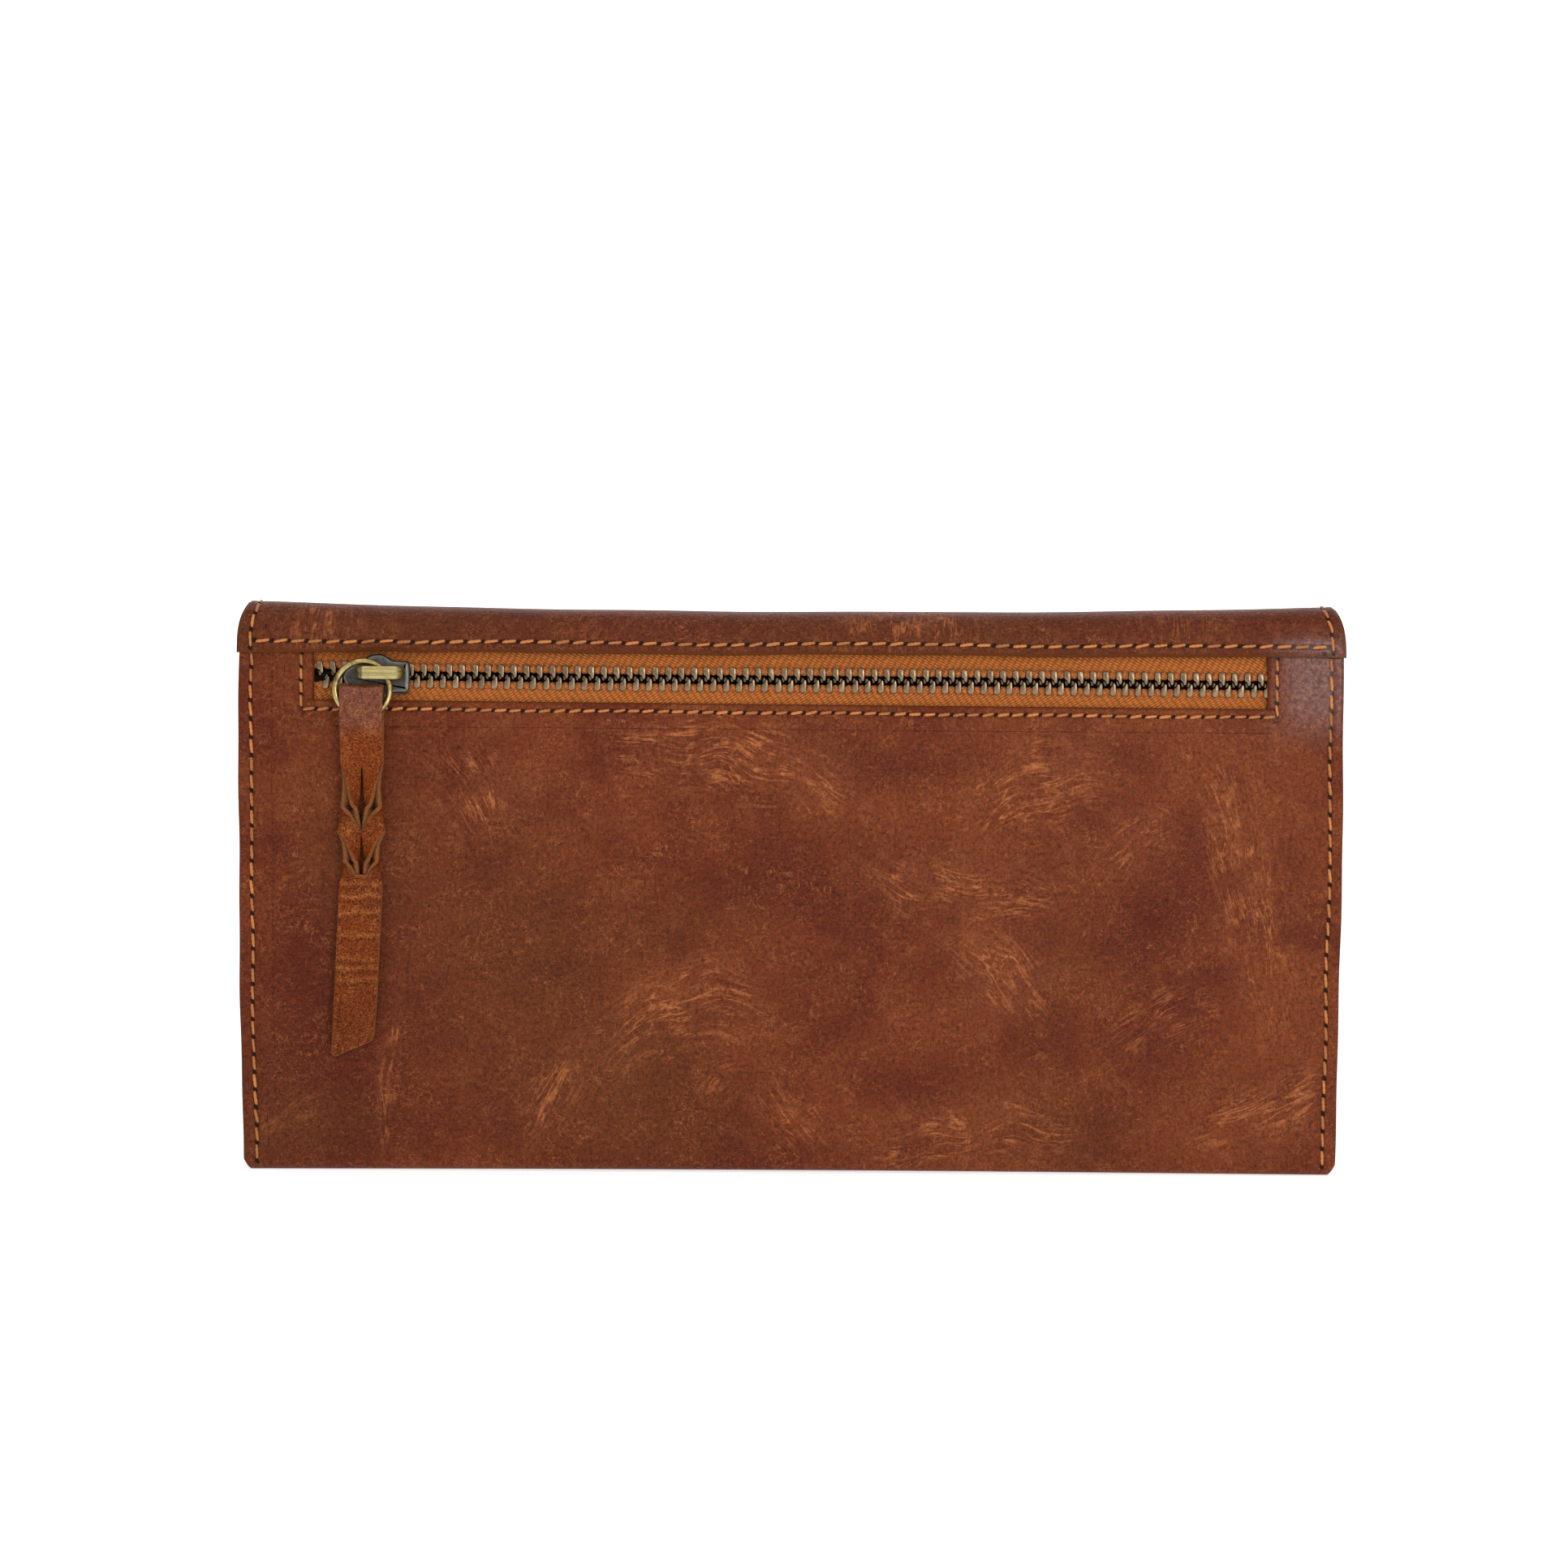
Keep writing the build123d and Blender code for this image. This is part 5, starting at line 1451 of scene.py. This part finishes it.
def strap_place(x, w):
    y, z = STRAP.at(w)
    side = np.where(x >= 0, 1.0, -1.0)
    phi = np.radians(np.interp(z, TURNS[:, 0], TURNS[:, 1]))
    busy = np.sin(np.clip((z - SLIT_END) / (SLIT_TOP - SLIT_END), 0, 1) * pi) ** 0.7
    out = np.abs(x) - STRAP_HALF / 2
    depth = np.where(z < PLIES_MEET, y - STRAP_MID, 0.0)
    reach = STRAP_HALF / 2 * np.abs(np.cos(phi)) + STRAP_LEATHER * np.abs(np.sin(phi))
    wide = np.interp(z, PULL_WIDTH[:, 0], PULL_WIDTH[:, 1]) - 0.3 * np.abs(np.sin(phi))
    across = (out * np.cos(phi) + depth * np.sin(phi) + reach) / (2 * reach)
    new_x = side * (wide * across - 0.15 * busy * (1 - across))
    turned = STRAP_MID - 0.35 * busy - out * np.sin(phi) * SQUEEZE + depth * np.cos(phi)
    new_y = np.where(z < PLIES_MEET, turned, y)
    head = 0.55 * smooth(z, 83.0, 87.0)
    dish = -0.25 * (1 - (x / STRAP_HALF) ** 2) * smooth(z, 85.0, 87.5)
    lean = -TAIL_LEAN * np.clip(SLIT_END - z, 0, None)
    tail = 1 - smooth(z, 24.0, 50.0)
    slant = strap_end(np.clip(x, -STRAP_HALF, STRAP_HALF)) * (1 - smooth(z, 20.0, 34.0))
    new_z = z + head + dish + tail * slant
    new_y = new_y - 0.10 * np.sin(z / 4.5) * tail
    return stacked(STRAP_X + new_x + lean, new_y, new_z)


# Bends pressed across the tail, strongest first: height over the foot and tilt. Each is painted as a pale
# line with painted shade in a dark line just below it.
TAIL_CREASES = [(29.3, 0.04), (26.5, 0.07), (22.3, 0.0), (16.4, 0.05), (31.6, -0.02), (18.0, -0.06),
                (14.2, 0.04)]


def make_strap():
    slit = 0.06
    rim_us = STRAP_HALF - np.array([0.28, 0.18, 0.1, 0.04, 0.0])
    half_us = np.concatenate([[slit], np.linspace(0.2, STRAP_HALF - 0.4, 12), rim_us])
    us = np.concatenate([-half_us[::-1], half_us])
    vs = lines(0.0, STRAP.length, 0.4, [(0.0, 0.5, 0.1), (STRAP.length, 0.5, 0.1)])

    def in_slit(w):
        z = STRAP.at(w)[1]
        return (z > SLIT_END) & (z < SLIT_TOP)

    def rim(x, w):
        off = np.minimum(STRAP_HALF - np.abs(x), np.minimum(w, STRAP.length - w))
        return np.where(in_slit(w), np.minimum(off, np.abs(x) - slit), off).clip(0)

    def keep(x, w):
        return ~((np.abs(x) < slit) & in_slit(w))

    def tones(x, w):
        dark = 0.5 * smooth(w, 34.0, 4.0) * (w < 60)
        light = 0.0
        for rank, (height, tilt) in enumerate(TAIL_CREASES):
            line = w - height - tilt * x - 0.13 * np.sin(x * 1.1 + rank * 2.0)
            light = light + (1.3 - 0.12 * rank) * np.exp(-(line / 0.30) ** 2)
            # Painted shade: a dark line just below each bend.
            dark = dark + 0.7 * np.exp(-((line + 0.75) / 0.4) ** 2)
        return stacked(dark, light, 0 * x)

    obj = sheet("pull_strap_leather", us, vs, as_it_is, strap_place, STRAP_LEATHER, rim, keep=keep,
                tones=tones, rim_round=0.35)
    settle(obj, "strap", "strap_leather", "pull_strap", "pull_strap")


# Press stud -------------------------------------------------------------------


def rounded_disc(node, dome=0.0, lip=0.0):
    low, high = LOW[node], HIGH[node]
    radius, thick = (high[X] - low[X]) / 2, high[Y] - low[Y]
    back, front = low[Y], high[Y]
    points = [(0.01, back), (radius * 0.9, back), (radius, back + 0.15 * thick)]
    points.append((radius, front - dome - 0.35 * (thick - dome)))
    for share in (0.985, 0.95, 0.9, 0.82, 0.7, 0.55, 0.4, 0.25, 0.12, 0.01):
        rise = dome * (1 - share ** 2) + (thick - dome) * 0.35 * (1 - smooth(share, 0.93, 1.0))
        groove_cut = lip * np.exp(-((share - 0.78) / 0.05) ** 2)
        points.append((radius * share, front - dome - 0.35 * (thick - dome) + rise - groove_cut))
    return lathe(points, ((low[X] + high[X]) / 2, (low[Z] + high[Z]) / 2))


def make_snap():
    for name, node, body, dome, lip in (("snap_cap_piece", "snap_cap", "flap_cover", 0.7, 0.06),
                                        ("snap_socket_piece", "snap_socket", "flap_cover", 0.0, 0.15),
                                        ("snap_stud_piece", "snap_stud", "front", 0.0, 0.15),
                                        ("snap_post_piece", "snap_post", "front", 0.0, 0.1)):
        points, faces = rounded_disc(node, dome, lip)
        obj = new_object(name, points, faces, {"wear": np.full(len(points), 0.6)})
        settle(obj, "snap", "snap_metal", body, node)


# Stage ------------------------------------------------------------------------


def glowing(name, colour, strength):
    sh = Shader(name)
    sh.put(sh.surface, "Emission Color", (1.0, 1.0, 1.0, 1.0))
    sh.put(sh.surface, "Emission Strength", strength)
    return sh.finish((*colour, 1.0), 0.9, specular=0.0)


def backdrop(name, corners, material):
    mesh = bpy.data.meshes.new(name)
    mesh.from_pydata(corners, [], [(0, 1, 2, 3)])
    mesh.materials.append(material)
    obj = bpy.data.objects.new(name, mesh)
    SCENE.collection.objects.link(obj)


def light(name, place, target, size, power):
    data = bpy.data.lights.new(name, "AREA")
    data.shape = "RECTANGLE"
    data.size, data.size_y = size
    data.energy = power
    obj = bpy.data.objects.new(name, data)
    SCENE.collection.objects.link(obj)
    obj.location = Vector(place)
    obj.rotation_euler = (Vector(target) - Vector(place)).to_track_quat("-Z", "Y").to_euler()


MIDDLE = (0.0, 0.0, 0.05)
# Name, place, target, size in metres, and power in watts.
LIGHTS = [
    ("key", (0.30, -0.72, 0.22), (0.05, 0, 0.06), (0.30, 0.34), 1.82),
    ("fill", (-0.30, -0.55, 0.52), MIDDLE, (0.5, 0.5), 0.6),
    ("top", (0.0, -0.20, 0.75), MIDDLE, (0.7, 0.3), 0.9),
    ("back", (0.1, 0.75, 0.5), MIDDLE, (0.7, 0.5), 1.2),
]
WORLD_STRENGTH = 0.5
FLOOR_REACH, WALL_Y = 4.0, 2.5


def make_stage():
    world = bpy.data.worlds.new("studio")
    world.use_nodes = True
    background = world.node_tree.nodes["Background"]
    background.inputs["Color"].default_value = (1.0, 1.0, 1.0, 1.0)
    background.inputs["Strength"].default_value = WORLD_STRENGTH
    SCENE.world = world
    reach, far = FLOOR_REACH, WALL_Y
    floor = [(-reach, -reach, 0), (reach, -reach, 0), (reach, far, 0), (-reach, far, 0)]
    backdrop("floor", floor, glowing("floor_white", (0.5, 0.5, 0.5), 0.72))
    wall = [(-reach, far, 0), (reach, far, 0), (reach, far, reach), (-reach, far, reach)]
    backdrop("wall", wall, glowing("wall_white", (0.6, 0.6, 0.6), 1.0))
    for row in LIGHTS:
        light(*row)


LENS, SENSOR, CLIP = 85.0, 36.0, (0.01, 20.0)
CAMERA_PLACE, CAMERA_ROLL = (-0.0012, -0.680, 0.0703), -0.35


def make_camera():
    data = bpy.data.cameras.new("view")
    data.lens, data.sensor_width = LENS, SENSOR
    data.clip_start, data.clip_end = CLIP
    camera = bpy.data.objects.new("view", data)
    camera.location = CAMERA_PLACE
    camera.rotation_euler = (pi / 2, radians(CAMERA_ROLL), 0)
    SCENE.collection.objects.link(camera)
    SCENE.camera = camera


make_shell()
make_flap()
make_flap_linings()
make_inside()
make_gusset("gusset_left", -1)
make_gusset("gusset_right", 1)
make_stitches()
make_tape("tape_above", "zip_tape_upper", 1, "tape_upper")
make_tape("tape_below", "zip_tape_lower", -1, "tape_lower")
make_bead("bead_above", 1, "tape_upper")
make_bead("bead_below", -1, "tape_lower")
make_teeth("teeth_above", "zip_teeth_upper", 1, 0.0, 71)
make_teeth("teeth_below", "zip_teeth_lower", -1, PITCH / 2, 72)
make_slider()
make_bridge()
make_ring()
make_stops()
make_strap()
make_snap()
make_stage()
make_camera()
SCENE.view_settings.view_transform = "Standard"
